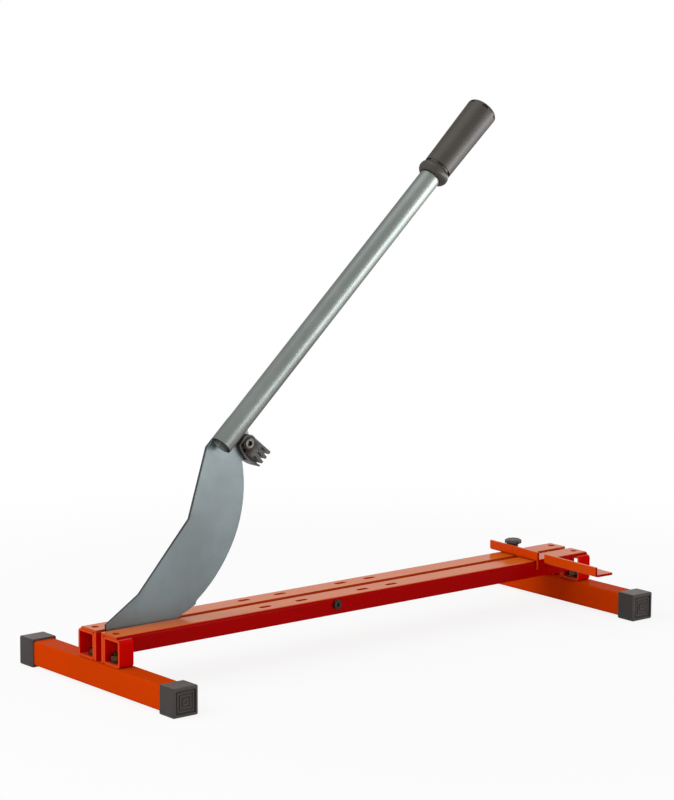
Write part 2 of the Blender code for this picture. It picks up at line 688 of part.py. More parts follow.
def add_lever():
    lever = new_empty("lever_pivot", (PIVOT_X, 0, PIVOT_HEIGHT), (0, -LEVER_REST_ANGLE, 0))
    bush_hole = circle(PIVOT_BUSH / 2 + HOLE_CLEARANCE)
    screw_u = EDGE_TOP_SHARES[0] * BLADE_REACH + BUFFER_SCREW_SETBACK
    screw_v = TUBE_LIFT - BUFFER_SCREW_DROP
    tube_mouth = BLADE_REACH - TUBE_OVERLAP
    screw_hole = circle(BUFFER_SCREW / 2 + HOLE_CLEARANCE, (screw_u, screw_v))
    blade = pulled_outline("blade", [blade_outline(), bush_hole, screw_hole], BLADE_THICKNESS)
    add_part("blade", blade, BLADE_STEEL, at(direction=ALONG_Y), lever)
    ring("pivot_bush", PIVOT_BUSH, PIVOT_BOLT + 2 * HOLE_CLEARANCE, BLADE_THICKNESS, ZINC,
         at(direction=ALONG_Y), lever)
    tube_end = LEVER_REACH - GRIP_END_CROWN - GRIP_END_WALL - TOUCH_GAP
    tube_length = tube_end - tube_mouth
    tube_middle = (tube_end + tube_mouth) / 2
    walls = [circle(TUBE_DIAMETER / 2, sides=TUBE_SIDES),
             circle(TUBE_DIAMETER / 2 - TUBE_WALL, sides=TUBE_SIDES)]
    add_part("handle_tube", pulled_outline("handle tube", walls, tube_length), TUBE_STEEL,
             at(tube_middle, -TUBE_SIDE, TUBE_LIFT, ALONG_X), lever)
    add_grip(lever)
    add_buffer(lever, screw_u, screw_v)


def grip_radius(height):
    inner = GRIP_INNER_DIAMETER / 2
    outer = GRIP_OUTER_DIAMETER / 2
    return inner + (outer - inner) * height / GRIP_LENGTH


def grip_profile():
    bore = TUBE_DIAMETER / 2 + TOUCH_GAP
    groove_top = GRIP_COLLAR_LENGTH + GRIP_GROOVE_LENGTH
    groove = grip_radius(groove_top) - GRIP_GROOVE_DEPTH
    shoulder = GRIP_LENGTH - GRIP_END_ROUND
    edge = grip_radius(shoulder)
    dome = arc((edge - GRIP_END_ROUND, shoulder), GRIP_END_ROUND, pi / 2, 0, 5)
    bead = arc_through((groove, GRIP_COLLAR_LENGTH), (GRIP_COLLAR_DIAMETER / 2, GRIP_COLLAR_BULGE),
                       (GRIP_COLLAR_MOUTH / 2, 0), 7)
    return [(0, GRIP_LENGTH + GRIP_END_CROWN), *dome,
            (grip_radius(groove_top), groove_top), (groove, groove_top), *bead, (bore, 0),
            (bore, GRIP_LENGTH - GRIP_END_WALL), (0, GRIP_LENGTH - GRIP_END_WALL)]


def add_grip(lever):
    inner_end = LEVER_REACH - GRIP_LENGTH - GRIP_END_CROWN
    place = at(inner_end, -TUBE_SIDE, TUBE_LIFT, ALONG_X)
    grip = turned_part("handle_grip", grip_profile(), PLASTIC, place, lever, GRIP_SIDES)
    notches = bpy.data.meshes.new("grip notches")
    solid = bmesh.new()
    size = Matrix.Diagonal((GRIP_NOTCH_DEPTH + OVERRUN, GRIP_NOTCH_WIDTH, GRIP_NOTCH_LENGTH, 1))
    for height in (GRIP_COLLAR_LENGTH + GRIP_GROOVE_LENGTH / 2, GRIP_LENGTH - GRIP_END_ROUND):
        radius = grip_radius(height) + OVERRUN / 2 - GRIP_NOTCH_DEPTH / 2
        for notch in range(GRIP_NOTCHES):
            spin = Matrix.Rotation(GRIP_NOTCH_TURN + 2 * pi * notch / GRIP_NOTCHES, 4, "Z")
            bmesh.ops.create_cube(solid, size=1, matrix=spin @ at(radius, 0, height) @ size)
    solid.to_mesh(notches)
    solid.free()
    cut(grip, add_cutter("grip notches", notches, place, lever))


def buffer_outline():
    """Comb outline drawn about the screw, with its tines pointing down to the rails."""
    right = BUFFER_LENGTH - BUFFER_LEFT_REACH
    outline = arc((0, 0), BUFFER_BOSS, pi / 2, 0, 6)
    outline.append((BUFFER_WAIST, -BUFFER_WAIST_DROP))
    corner = right
    for tine in range(BUFFER_TINES - 1):
        near = right - tine * (TINE_WIDTH + TINE_GAP) - TINE_WIDTH
        root = TINE_LENGTH - BUFFER_DROP + tine * TINE_ROOT_STEP
        outline += [(corner, -BUFFER_DROP), (near + TINE_TAPER, -BUFFER_DROP), (near, root),
                    (near - TINE_GAP, root)]
        corner = near - TINE_GAP - TINE_TAPER
    tip = right - (BUFFER_TINES - 1) * (TINE_WIDTH + TINE_GAP)
    outline.append((tip, -BUFFER_DROP))
    shoulder = (-BUFFER_SHOULDER, BUFFER_SHOULDER_LIFT)
    outline += arc_through((tip - TINE_GAP / 2, -BUFFER_DROP),
                           (-BUFFER_LEFT_REACH, -BUFFER_BELLY_DROP), shoulder, 8)
    return outline


def add_buffer(lever, screw_u, screw_v):
    mesh = pulled_outline("buffer", [buffer_outline()], BUFFER_WIDTH)
    buffer = add_part("buffer", mesh, PLASTIC, at(screw_u, 0, screw_v, ALONG_Y), lever)
    lug = LUG_DROP_SHARE * BLADE_DEPTH - TOUCH_GAP
    slot_height = TUBE_LIFT - lug
    slot = block_mesh("buffer slot", (2 * BUFFER_LENGTH, BLADE_THICKNESS + 2 * TOUCH_GAP, slot_height))
    cut(buffer, add_cutter("buffer slot", slot, at(screw_u, 0, lug + slot_height / 2), lever))
    place = at(screw_u, 0, screw_v, ALONG_Y)
    side = BUFFER_WIDTH / 2
    seat = side - BUFFER_SCREW_SINK
    sink = BUFFER_SCREW_SINK + TOUCH_GAP + OVERRUN
    rods = [((0, 0, 0), BUFFER_SCREW / 2 + HOLE_CLEARANCE, BUFFER_WIDTH + 2 * OVERRUN)]
    cut(buffer, add_cutter("buffer hole", rods_mesh("buffer hole", rods), place, lever))
    rods = [((0, 0, side + OVERRUN - sink / 2), BUFFER_SCREW_HEAD / 2 + HOLE_CLEARANCE, sink)]
    cut(buffer, add_cutter("buffer sink", rods_mesh("buffer sink", rods), place, lever))
    nut_near = side + TOUCH_GAP
    tip = -(nut_near + BUFFER_NUT_HEIGHT + BUFFER_SCREW_TAIL)
    socket_screw("buffer_screw", BUFFER_SCREW_HEAD, BUFFER_SCREW_HEAD_HEIGHT, BUFFER_SCREW,
                 BUFFER_SCREW_SOCKET, BUFFER_SCREW_SOCKET_DEPTH, seat, tip, place, lever)
    nut("buffer_nut", BUFFER_NUT_FLATS, BUFFER_SCREW, BUFFER_NUT_HEIGHT, ZINC,
        place @ at(z=-nut_near - BUFFER_NUT_HEIGHT / 2), lever)


def add_fence():
    """Folded plate drawn about the clamp bolt, with Z = 0 on the rail's top face."""
    stud_x = FRONT_X + SLOT_PLACES[FENCE_SLOT]
    carriage = new_empty("fence_carriage", (stud_x, BOLT_LINE, RAIL_TOP))
    turn = new_empty("fence_turn", (0, 0, 0), (0, 0, FENCE_REST_ANGLE), carriage)
    face = -FENCE_FACE_OFFSET
    low = TOUCH_GAP
    inside = FENCE_BEND - FENCE_THICKNESS
    corners = [((face, low), FENCE_BEND), ((face + FENCE_DEPTH, low), 0),
               ((face + FENCE_DEPTH, low + FENCE_THICKNESS), 0),
               ((face + FENCE_THICKNESS, low + FENCE_THICKNESS), inside),
               ((face + FENCE_THICKNESS, FENCE_HEIGHT), 0), ((face, FENCE_HEIGHT), 0)]
    length = FENCE_LEFT + FENCE_RIGHT
    mesh = pulled_outline("fence", [filleted(corners)], length)
    fence = add_part("fence", mesh, PAINT, at(0, (FENCE_LEFT - FENCE_RIGHT) / 2, 0, ALONG_Y), turn)
    lug_face = -(BOLT_LINE + RAIL_OUTER + FENCE_LUG_SLACK)
    lug_height = FENCE_LUG_DROP + FENCE_THICKNESS / 2
    lug = block_mesh("fence lug", (FENCE_LUG_LENGTH, FENCE_THICKNESS, lug_height))
    lug_start = face + FENCE_BEND
    joined(fence, "fence lug", lug, at(lug_start + FENCE_LUG_LENGTH / 2,
                                       lug_face - FENCE_THICKNESS / 2,
                                       low + FENCE_THICKNESS / 2 - lug_height / 2), turn)
    notch_high = lug_face - FENCE_THICKNESS - FENCE_NOTCH_START
    notch_depth = FENCE_BEND + FENCE_LUG_LENGTH + OVERRUN
    notch = block_mesh("fence notch", (notch_depth, FENCE_NOTCH_WIDTH, FENCE_HEIGHT + 2 * OVERRUN))
    cut(fence, add_cutter("fence notch", notch, at(face - OVERRUN + notch_depth / 2,
                                                   notch_high - FENCE_NOTCH_WIDTH / 2,
                                                   FENCE_HEIGHT / 2), turn))
    hole = rods_mesh("fence hole", [((0, 0, low + FENCE_THICKNESS / 2),
                                     CLAMP_BOLT / 2 + HOLE_CLEARANCE,
                                     FENCE_THICKNESS + 2 * OVERRUN)])
    cut(fence, add_cutter("fence hole", hole, at(), turn))
    add_clamp(carriage, turn, low + FENCE_THICKNESS + TOUCH_GAP)


def add_clamp(carriage, turn, washer_low):
    knob_low = washer_low + CLAMP_WASHER_THICKNESS + TOUCH_GAP
    tip = knob_low + KNOB_INSERT_LENGTH - KNOB_BOLT_SHORTFALL
    head_top = -RAIL_WALL - TOUCH_GAP
    rim = head_top - EDGE_BREAK
    crown = CLAMP_HEAD_HEIGHT - EDGE_BREAK
    dome = [(CLAMP_HEAD / 2 * x, rim - crown * y) for x, y in arc((0, 0), 1, 0, pi / 2, FILLET_STEPS)]
    profile = [(0, head_top), (CLAMP_HEAD / 2, head_top), *dome[:-1], (0, rim - crown)]
    bolt = turned_part("fence_bolt", profile, ZINC, at(), carriage)
    neck_height = CLAMP_NECK_HEIGHT + CLAMP_HEAD_HEIGHT / 2
    neck = block_mesh("clamp neck", (CLAMP_BOLT, CLAMP_BOLT, neck_height))
    joined(bolt, "clamp neck", neck,
           at(z=head_top + CLAMP_NECK_HEIGHT - neck_height / 2), carriage)
    length = tip - head_top + CLAMP_HEAD_HEIGHT / 3
    shank = rods_mesh("clamp shank", [((0, 0, tip - length / 2), CLAMP_BOLT / 2, length)])
    joined(bolt, "clamp shank", shank, at(), carriage)
    hole = CLAMP_BOLT + 2 * HOLE_CLEARANCE
    ring("fence_washer", CLAMP_WASHER, hole, CLAMP_WASHER_THICKNESS, ZINC,
         at(z=washer_low + CLAMP_WASHER_THICKNESS / 2), turn)
    ring("knob_insert", KNOB_INSERT, hole, KNOB_INSERT_LENGTH, BRASS,
         at(z=knob_low + KNOB_INSERT_LENGTH / 2), carriage)
    lobes = []
    sides = KNOB_LOBES * KNOB_LOBE_POINTS
    for step in range(sides):
        angle = 2 * pi * step / sides
        radius = KNOB_DIAMETER / 2 - KNOB_LOBE_DEPTH * (1 - cos(KNOB_LOBES * angle)) / 2
        lobes.append((radius * cos(angle), radius * sin(angle)))
    mesh = pulled_outline("fence knob", [lobes], KNOB_HEAD_HEIGHT)
    head_middle = knob_low + KNOB_HEIGHT - KNOB_HEAD_HEIGHT / 2
    knob = add_part("fence_knob", mesh, PLASTIC, at(z=head_middle), carriage)
    bevel(knob, KNOB_EDGE)
    hub_length = head_middle - knob_low
    hub = rods_mesh("knob hub", [((0, 0, knob_low + hub_length / 2), KNOB_HUB / 2, hub_length)])
    joined(knob, "knob hub", hub, at(), carriage)
    depth = KNOB_INSERT_LENGTH + TOUCH_GAP + OVERRUN
    bore = rods_mesh("knob bore", [((0, 0, knob_low - OVERRUN + depth / 2),
                                    KNOB_INSERT / 2 + HOLE_CLEARANCE, depth)])
    cut(knob, add_cutter("knob bore", bore, at(), carriage))


clear_scene()
PARTS = new_collection("laminate_cutter")
CUTTERS = new_collection("cutters")
PAINT = new_material("orange paint", (0.78, 0.05, 0.004), 0.2, 0)
PLASTIC = new_material("dark plastic", (0.07, 0.066, 0.06), 0.55, 0)
BLADE_STEEL = new_material("blade steel", (0.36, 0.4, 0.41), 0.4, 1)
TUBE_STEEL = new_material("zinc plated tube", (0.5, 0.54, 0.53), 0.3, 1)
ZINC = new_material("zinc plated steel", (0.6, 0.6, 0.58), 0.35, 1)
DARK_STEEL = new_material("blackened steel", (0.12, 0.12, 0.12), 0.4, 1)
NYLON = new_material("nylon", (0.75, 0.74, 0.7), 0.5, 0)
BRASS = new_material("brass", (0.75, 0.55, 0.25), 0.35, 1)

add_feet()
add_boxes()
add_cheeks()
add_rails()
add_frame_fasteners()
add_tie()
add_pivot()
add_lever()
add_fence()
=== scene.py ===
"""Looks of a lever cutter for laminate boards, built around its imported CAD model.

Run it as a script in Blender 4.5. The CAD part is loaded as a fixed frame and gives the
place of every piece. The operators below dress it: painted sheet and tube with broken
edges, the blade, the handle tube with its weld, the grip, the buffer, the foot caps, the
fence knob and the fasteners. The last operator sets up the floor, lights and camera.
"""
import json
from math import atan2, cos, hypot, pi, radians, sin, sqrt

import bmesh
import bpy
from bpy.props import FloatProperty, FloatVectorProperty, IntProperty, PointerProperty
from mathutils import Matrix, Vector


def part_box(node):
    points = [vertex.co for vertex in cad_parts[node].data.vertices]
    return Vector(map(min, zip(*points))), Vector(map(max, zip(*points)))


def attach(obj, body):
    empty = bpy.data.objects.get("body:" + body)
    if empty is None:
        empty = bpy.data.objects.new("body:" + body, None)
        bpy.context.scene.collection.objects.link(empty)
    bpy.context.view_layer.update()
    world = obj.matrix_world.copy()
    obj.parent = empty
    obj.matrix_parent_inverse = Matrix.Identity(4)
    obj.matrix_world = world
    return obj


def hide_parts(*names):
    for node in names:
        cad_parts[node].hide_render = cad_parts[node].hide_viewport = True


bl_info = {
    "name": "Laminate cutter",
    "version": (1, 0, 0),
    "blender": (4, 5, 0),
    "location": "3D View > Sidebar > Cutter",
    "description": "Dresses the CAD model of a lever cutter for laminate boards",
    "category": "Object",
}

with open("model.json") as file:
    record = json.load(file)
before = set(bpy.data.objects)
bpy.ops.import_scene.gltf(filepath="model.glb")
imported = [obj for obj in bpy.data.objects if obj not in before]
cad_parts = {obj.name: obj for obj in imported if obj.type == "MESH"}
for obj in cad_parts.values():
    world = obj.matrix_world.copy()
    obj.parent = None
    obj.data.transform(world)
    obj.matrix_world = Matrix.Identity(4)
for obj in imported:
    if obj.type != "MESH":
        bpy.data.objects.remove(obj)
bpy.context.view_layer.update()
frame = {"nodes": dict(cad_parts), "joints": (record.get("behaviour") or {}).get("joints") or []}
NODES = frame["nodes"]

TOUCH_GAP = 0.0003
OVERRUN = 0.001
MERGE = 0.00002
SHARP_ANGLE = radians(38)
ROUND_ANGLE = radians(60)

# Lever: its pivot comes from the model, and its angle is the one it rests at
LEVER_JOINT = next(joint for joint in frame["joints"] if joint["name"] == "lever_pivot")
LEVER_REST_ANGLE = radians(42.99)
LEVER = Matrix.Translation(LEVER_JOINT["pos_m"]) @ Matrix.Rotation(-LEVER_REST_ANGLE, 4, "Y")
ALONG_X = Matrix(((0, 0, 1), (1, 0, 0), (0, 1, 0))).to_4x4()
ALONG_Y = Matrix(((1, 0, 0), (0, 0, -1), (0, 1, 0))).to_4x4()
LEVER_REACH = 0.8138
BLADE_THICKNESS = 0.004
BLADE_REACH = 0.293
BLADE_CORNER_LIFT = 0.021798
TUBE_LIFT = 0.0715
TUBE_MOUTH = 0.2477
TUBE_DIAMETER = 0.0269
TUBE_WALL = 0.002
TUBE_SIDE = BLADE_THICKNESS / 2 + TOUCH_GAP + TUBE_DIAMETER / 2
BUFFER_SEAT = (0.28, 0, 0.0363)

# Rail walls nearer to the middle than this are the inner faces beside the gap; they keep the front
# tone, and only the walls farther out get the painted shade of the side tone
RAIL_FLANGE_FROM = 0.03

CORNERS = ("front_left", "front_right", "rear_left", "rear_right")
FEET = ("foot_tube_front", "foot_tube_rear")
RAILS = ("rail_left", "rail_right")
BOXES = tuple(f"spacer_box_{corner}" for corner in CORNERS)
PLATES = ("pivot_cheek_left", "pivot_cheek_right", "gap_strip_left", "gap_strip_right")


def at(x=0, y=0, z=0, direction=None):
    place = Matrix.Translation((x, y, z))
    return place @ direction if direction else place


def turned(angle, axis):
    return Matrix.Rotation(angle, 4, axis)


def span_of(low, high):
    """The middle and the size of a box."""
    return (low + high) / 2, high - low


def arc(centre, radius, start, end, steps):
    points = []
    for step in range(steps + 1):
        angle = start + (end - start) * step / steps
        points.append((centre[0] + radius * cos(angle), centre[1] + radius * sin(angle)))
    return points


def arc_through(first, middle, last, steps):
    """Points on the circle through three points, from the first to the last."""
    a, b, c = Vector(first), Vector(middle), Vector(last)
    turn = 2 * (a.x * (b.y - c.y) + b.x * (c.y - a.y) + c.x * (a.y - b.y))
    aa, bb, cc = a.dot(a), b.dot(b), c.dot(c)
    x = (aa * (b.y - c.y) + bb * (c.y - a.y) + cc * (a.y - b.y)) / turn
    y = (aa * (c.x - b.x) + bb * (a.x - c.x) + cc * (b.x - a.x)) / turn
    start, end = atan2(a.y - y, a.x - x), atan2(c.y - y, c.x - x)
    if turn > 0:
        end = start + (end - start) % (2 * pi)
    else:
        end = start - (start - end) % (2 * pi)
    return arc((x, y), hypot(a.x - x, a.y - y), start, end, steps)


# Meshes

def placed_object(name, data):
    thing = bpy.data.objects.new(name, data)
    bpy.context.scene.collection.objects.link(thing)
    return thing


def mesh_object(name, solid):
    mesh = bpy.data.meshes.new(name)
    solid.to_mesh(mesh)
    solid.free()
    return placed_object(name, mesh)


def closed(solid):
    bmesh.ops.remove_doubles(solid, verts=solid.verts, dist=MERGE)
    bmesh.ops.recalc_face_normals(solid, faces=solid.faces)
    return solid


def slab(name, outline, low, high):
    """An outline in X and Y pulled from one height to another."""
    solid = bmesh.new()
    bottom = [solid.verts.new((x, y, low)) for x, y in outline]
    top = [solid.verts.new((x, y, high)) for x, y in outline]
    solid.faces.new(bottom)
    solid.faces.new(top)
    for i in range(len(outline)):
        solid.faces.new((bottom[i - 1], bottom[i], top[i], top[i - 1]))
    return mesh_object(name, closed(solid))


def lathe(name, profile, sides):
    """A closed profile of radius and height turned about Z."""
    solid = bmesh.new()
    rings = []
    for radius, height in profile:
        count = sides if radius >= MERGE else 1
        reach = radius if radius >= MERGE else 0
        turns = [2 * pi * i / sides for i in range(count)]
        rings.append([solid.verts.new((reach * cos(a), reach * sin(a), height)) for a in turns])
    for i in range(len(profile)):
        near, far = rings[i - 1], rings[i]
        if len(near) == 1 and len(far) == 1:
            continue
        for j in range(sides):
            corners = []
            for ring, place in ((near, j - 1), (near, j), (far, j), (far, j - 1)):
                corner = ring[place] if len(ring) > 1 else ring[0]
                if corner not in corners:
                    corners.append(corner)
            solid.faces.new(corners)
    return mesh_object(name, closed(solid))


def plug(name, radius, low, high, sides):
    return lathe(name, [(0, low), (radius, low), (radius, high), (0, high)], sides)


def cuboid(name, size, centre=(0, 0, 0)):
    solid = bmesh.new()
    bmesh.ops.create_cube(solid, size=1, matrix=at(*centre) @ Matrix.Diagonal((*size, 1)))
    return mesh_object(name, solid)


def copy_of(node, name):
    """A merged copy of a CAD node with its flat faces made whole, ready for rounding."""
    solid = bmesh.new()
    solid.from_mesh(NODES[node].data)
    bmesh.ops.remove_doubles(solid, verts=solid.verts, dist=MERGE)
    bmesh.ops.dissolve_limit(solid, angle_limit=radians(1), verts=solid.verts, edges=solid.edges)
    bmesh.ops.recalc_face_normals(solid, faces=solid.faces)
    return mesh_object(name, solid)


def box_along(base, node):
    """The low and high corner of a CAD node along the axes of a turned space."""
    inverse = base.inverted()
    spots = [inverse @ v.co for v in NODES[node].data.vertices]
    return [Vector([pick(s[i] for s in spots) for i in range(3)]) for pick in (min, max)]


def joined(name, *pieces):
    """Several finished meshes as one object."""
    solid = bmesh.new()
    for piece in pieces:
        solid.from_mesh(piece.data)
        bpy.data.objects.remove(piece)
    return mesh_object(name, solid)


def moved(piece, place):
    piece.data.transform(place)
    return piece


def modified(piece, kind, **settings):
    modifier = piece.modifiers.new(kind, kind)
    for key, value in settings.items():
        setattr(modifier, key, value)
    return piece


def cut(piece, cutter, operation="DIFFERENCE"):
    modified(piece, "BOOLEAN", operation=operation, solver="EXACT", object=cutter)


def round_edges(piece, width, segments=2):
    modified(piece, "BEVEL", width=width, segments=segments, limit_method="ANGLE",
             angle_limit=radians(40), miter_outer="MITER_ARC", use_clamp_overlap=True)
    return modified(piece, "WEIGHTED_NORMAL", keep_sharp=True)


def smooth_by_angle(piece, angle=SHARP_ANGLE):
    for polygon in piece.data.polygons:
        polygon.use_smooth = True
    piece.data.set_sharp_from_angle(angle=angle)
    return piece


def applied(piece):
    """Turns the piece's modifiers into plain mesh."""
    graph = bpy.context.evaluated_depsgraph_get()
    graph.update()
    mesh = bpy.data.meshes.new_from_object(piece.evaluated_get(graph), depsgraph=graph)
    piece.modifiers.clear()
    piece.data = mesh
    return piece


def baked(piece):
    """Applies the modifiers of a smoothed piece, and removes the cutters they used."""
    cutters = [m.object for m in piece.modifiers if m.type == "BOOLEAN"]
    applied(smooth_by_angle(piece))
    for cutter in cutters:
        bpy.data.objects.remove(cutter)
    return piece


def give(piece, material):
    piece.data.materials.clear()
    piece.data.materials.append(material)


def finish(piece, material, body, slot, *replaced):
    """Gives a piece its material and says what it rides on and stands for."""
    if not piece.data.polygons:
        raise RuntimeError(f"{piece.name} came out empty")
    give(piece, material)
    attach(piece, body)
    if replaced:
        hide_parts(*replaced)


# Shader node groups

# The kind of socket that each kind of value ends in: all vectors here are scaled colours
SOCKET_KINDS = {"VALUE": "NodeSocketFloat", "RGBA": "NodeSocketColor",
                "VECTOR": "NodeSocketColor", "GEOMETRY": "NodeSocketGeometry"}


class Tree:
    """Short way to lay out and link the nodes of one tree."""

    def __init__(self, tree):
        self.tree = tree

    def fill(self, node, inputs):
        """Sets the inputs of a node: a socket is linked, anything else is its value."""
        for key, value in inputs.items():
            if isinstance(value, bpy.types.NodeSocket):
                self.tree.links.new(value, node.inputs[key])
            else:
                node.inputs[key].default_value = value
        return node

    def add(self, kind, inputs=None, **settings):
        node = self.tree.nodes.new(kind)
        for key, value in settings.items():
            setattr(node, key, value)
        return self.fill(node, inputs or {})

    def given_by(self, inputs):
        """Adds the tree's own inputs, each of the kind that its default value has."""
        for title, value in inputs.items():
            if isinstance(value, tuple):
                kind = "Color" if len(value) == 4 else "Vector"
            else:
                kind = {float: "Float", int: "Int", str: value}[type(value)]
            socket = self.tree.interface.new_socket(title, in_out="INPUT",
                                                    socket_type=f"NodeSocket{kind}")
            if not isinstance(value, str):
                socket.default_value = value
        return self.add("NodeGroupInput").outputs

    def end_with(self, results):
        """Adds the tree's outputs, each of the kind of the socket that it gets."""
        for title, value in results.items():
            self.tree.interface.new_socket(title, in_out="OUTPUT",
                                           socket_type=SOCKET_KINDS[value.type])
        self.add("NodeGroupOutput", results)
        return self.tree

    def space(self, name="Object"):
        return self.add("ShaderNodeTexCoord").outputs[name]

    def axes(self, vector):
        return self.add("ShaderNodeSeparateXYZ", {"Vector": vector}).outputs

    def maths(self, operation, *values):
        return self.add("ShaderNodeMath", dict(enumerate(values)), operation=operation).outputs[0]

    def times(self, vector, factor):
        inputs = {0: vector, "Scale": factor}
        return self.add("ShaderNodeVectorMath", inputs, operation="SCALE").outputs[0]

    def mix(self, share, first, second):
        inputs = {0: share, 6: first, 7: second}
        return self.add("ShaderNodeMix", inputs, data_type="RGBA").outputs[2]

    def noise(self, vector, scale, detail=3, roughness=0.5):
        inputs = {"Vector": vector, "Scale": scale, "Detail": detail, "Roughness": roughness}
        return self.add("ShaderNodeTexNoise", inputs).outputs["Fac"]

    def uneven(self, given, mask):
        """The roughness asked for, more of it where the mask is strong."""
        return self.maths("MULTIPLY_ADD", mask, given["Roughness change"], given["Roughness"])

    def span(self, value, low, high, to_low=0.0, to_high=1.0):
        inputs = {"Value": value, "From Min": low, "From Max": high,
                  "To Min": to_low, "To Max": to_high}
        return self.add("ShaderNodeMapRange", inputs, interpolation_type="SMOOTHSTEP").outputs[0]


def clouded_colour(tree, given):
    """Soft clouds and fine specks over a plain colour."""
    where = tree.space()
    cloud = tree.span(tree.noise(where, given["Cloud scale"], 4, 0.55), 0.38, 0.66)
    speck = tree.span(tree.noise(where, given["Speck scale"], 2, 0.6), 0.3, 0.7, -0.5, 0.5)
    amount = tree.maths("MULTIPLY", cloud, given["Cloud amount"])
    tone = tree.mix(amount, given["Colour"], given["Cloud colour"])
    lift = tree.maths("MULTIPLY_ADD", speck, given["Speck amount"], 1.0)
    return {"Colour": tree.times(tone, lift)}


def orange_peel(tree, given):
    """Gentle long waves and fine ripple of a sprayed coat, as a height and a roughness."""
    where = tree.space()
    wave = tree.noise(where, given["Wave scale"], 1, 0.4)
    ripple = tree.noise(where, given["Ripple scale"], 2, 0.5)
    haze = tree.span(tree.noise(where, 9.0, 4, 0.6), 0.35, 0.7)
    return {"Height": tree.maths("MULTIPLY_ADD", ripple, given["Ripple share"], wave),
            "Roughness": tree.uneven(given, haze)}


def drawn_lines(tree, given):
    """Fine lines along one direction with a few stronger ones, for ground or drawn metal."""
    line = tree.noise(given["Vector"], given["Line scale"], 3, 0.6)
    wide = tree.maths("MULTIPLY", given["Line scale"], 0.3)
    strong = tree.span(tree.noise(given["Vector"], wide, 2, 0.5), 0.62, 0.74)
    return {"Height": tree.maths("MULTIPLY_ADD", strong, -0.6, line),
            "Roughness": tree.uneven(given, line)}


def moulded_grain(tree, given):
    """Spark-eroded grain of a moulding, with soft sheen changes where hands rub it."""
    where = tree.space()
    rub = tree.span(tree.noise(where, given["Rub scale"], 4, 0.55), 0.35, 0.7)
    return {"Height": tree.noise(where, given["Grain scale"], 3, 0.65),
            "Roughness": tree.uneven(given, rub)}


def painted_light_by_facing(tree, given):
    """Painted light and shade by facing: the faces that look up or along Y get a colour and gloss
    of their own, apart from the rest.
    """
    facing = tree.axes(tree.space("Normal"))
    place = tree.axes(tree.space())
    outside = tree.maths("GREATER_THAN", tree.maths("ABSOLUTE", place["Y"]), given["Side from"])
    side = tree.span(tree.maths("ABSOLUTE", facing["Y"]), 0.15, 0.45)
    masks = {"Side": tree.maths("MULTIPLY", side, outside),
             "Top": tree.span(facing["Z"], 0.8, 0.98)}
    tone, gloss = given["Colour"], given["Gloss"]
    for name, mask in masks.items():
        tone = tree.mix(mask, tone, given[f"{name} colour"])
        blend = {0: mask, 2: gloss, 3: given[f"{name} gloss"]}
        gloss = tree.add("ShaderNodeMix", blend, data_type="FLOAT").outputs[0]
    return {"Colour": tone, "Gloss": gloss}


GROUPS = {
    "clouded colour": (clouded_colour, {
        "Colour": (0.5, 0.5, 0.5, 1), "Cloud colour": (0.6, 0.6, 0.6, 1), "Cloud scale": 12.0,
        "Cloud amount": 0.3, "Speck scale": 900.0, "Speck amount": 0.1}),
    "orange peel": (orange_peel, {
        "Wave scale": 160.0, "Ripple scale": 700.0, "Ripple share": 0.35, "Roughness": 0.2,
        "Roughness change": 0.1}),
    "drawn lines": (drawn_lines, {
        "Vector": (0, 0, 0), "Line scale": 600.0, "Roughness": 0.3, "Roughness change": 0.12}),
    "moulded grain": (moulded_grain, {
        "Grain scale": 1800.0, "Rub scale": 25.0, "Roughness": 0.5, "Roughness change": 0.12}),
    # Painted light and shade: by default the side colour is darker and the top colour lighter.
    "painted light by facing": (painted_light_by_facing, {
        "Colour": (0.5, 0.5, 0.5, 1), "Side colour": (0.4, 0.4, 0.4, 1),
        "Top colour": (0.6, 0.6, 0.6, 1), "Gloss": 0.1, "Side gloss": 0.05, "Top gloss": 0.5,
        "Side from": 0.0}),
}


def shader_group(name):
    """A node group by name, built the first time that a material asks for it."""
    if name not in bpy.data.node_groups:
        build, inputs = GROUPS[name]
        tree = Tree(bpy.data.node_groups.new(name, "ShaderNodeTree"))
        tree.end_with(build(tree, tree.given_by(inputs)))
    return bpy.data.node_groups[name]


def named(values):
    return {key.replace("_", " "): value for key, value in values.items()}


def colour(values):
    return (*values, 1.0)


def scaled(values, factor):
    return tuple(value * factor for value in values)


class Surface(Tree):
    """The tree of a material whose constant values are set on the Principled BSDF itself."""

    def __init__(self, name, **constants):
        self.material = bpy.data.materials.new(name)
        self.material.use_nodes = True
        super().__init__(self.material.node_tree)
        self.shader = next(node for node in self.tree.nodes if node.type == "BSDF_PRINCIPLED")
        self.fill(self.shader, named(constants))

    def group(self, name, **values):
        node = self.add("ShaderNodeGroup", node_tree=shader_group(name))
        return self.fill(node, named(values)).outputs

    def clouded(self, base, cloud, **values):
        return self.group("clouded colour", Colour=base, Cloud_colour=cloud, **values)["Colour"]

    def by_side(self, front, side, top):
        """A colour for the faces in front, for those along Y and for those that look up: painted
        light and shade by facing.
        """
        return self.group("painted light by facing", Colour=colour(front), Side_colour=colour(side),
                          Top_colour=colour(top))["Colour"]

    def coated(self, tone, relief, distance):
        """Links the colour and the relief, and gives the material back."""
        bump = self.add("ShaderNodeBump", {"Height": relief["Height"], "Distance": distance})
        self.fill(self.shader, {"Base Color": tone, "Roughness": relief["Roughness"],
                                "Normal": bump.outputs[0]})
        return self.material


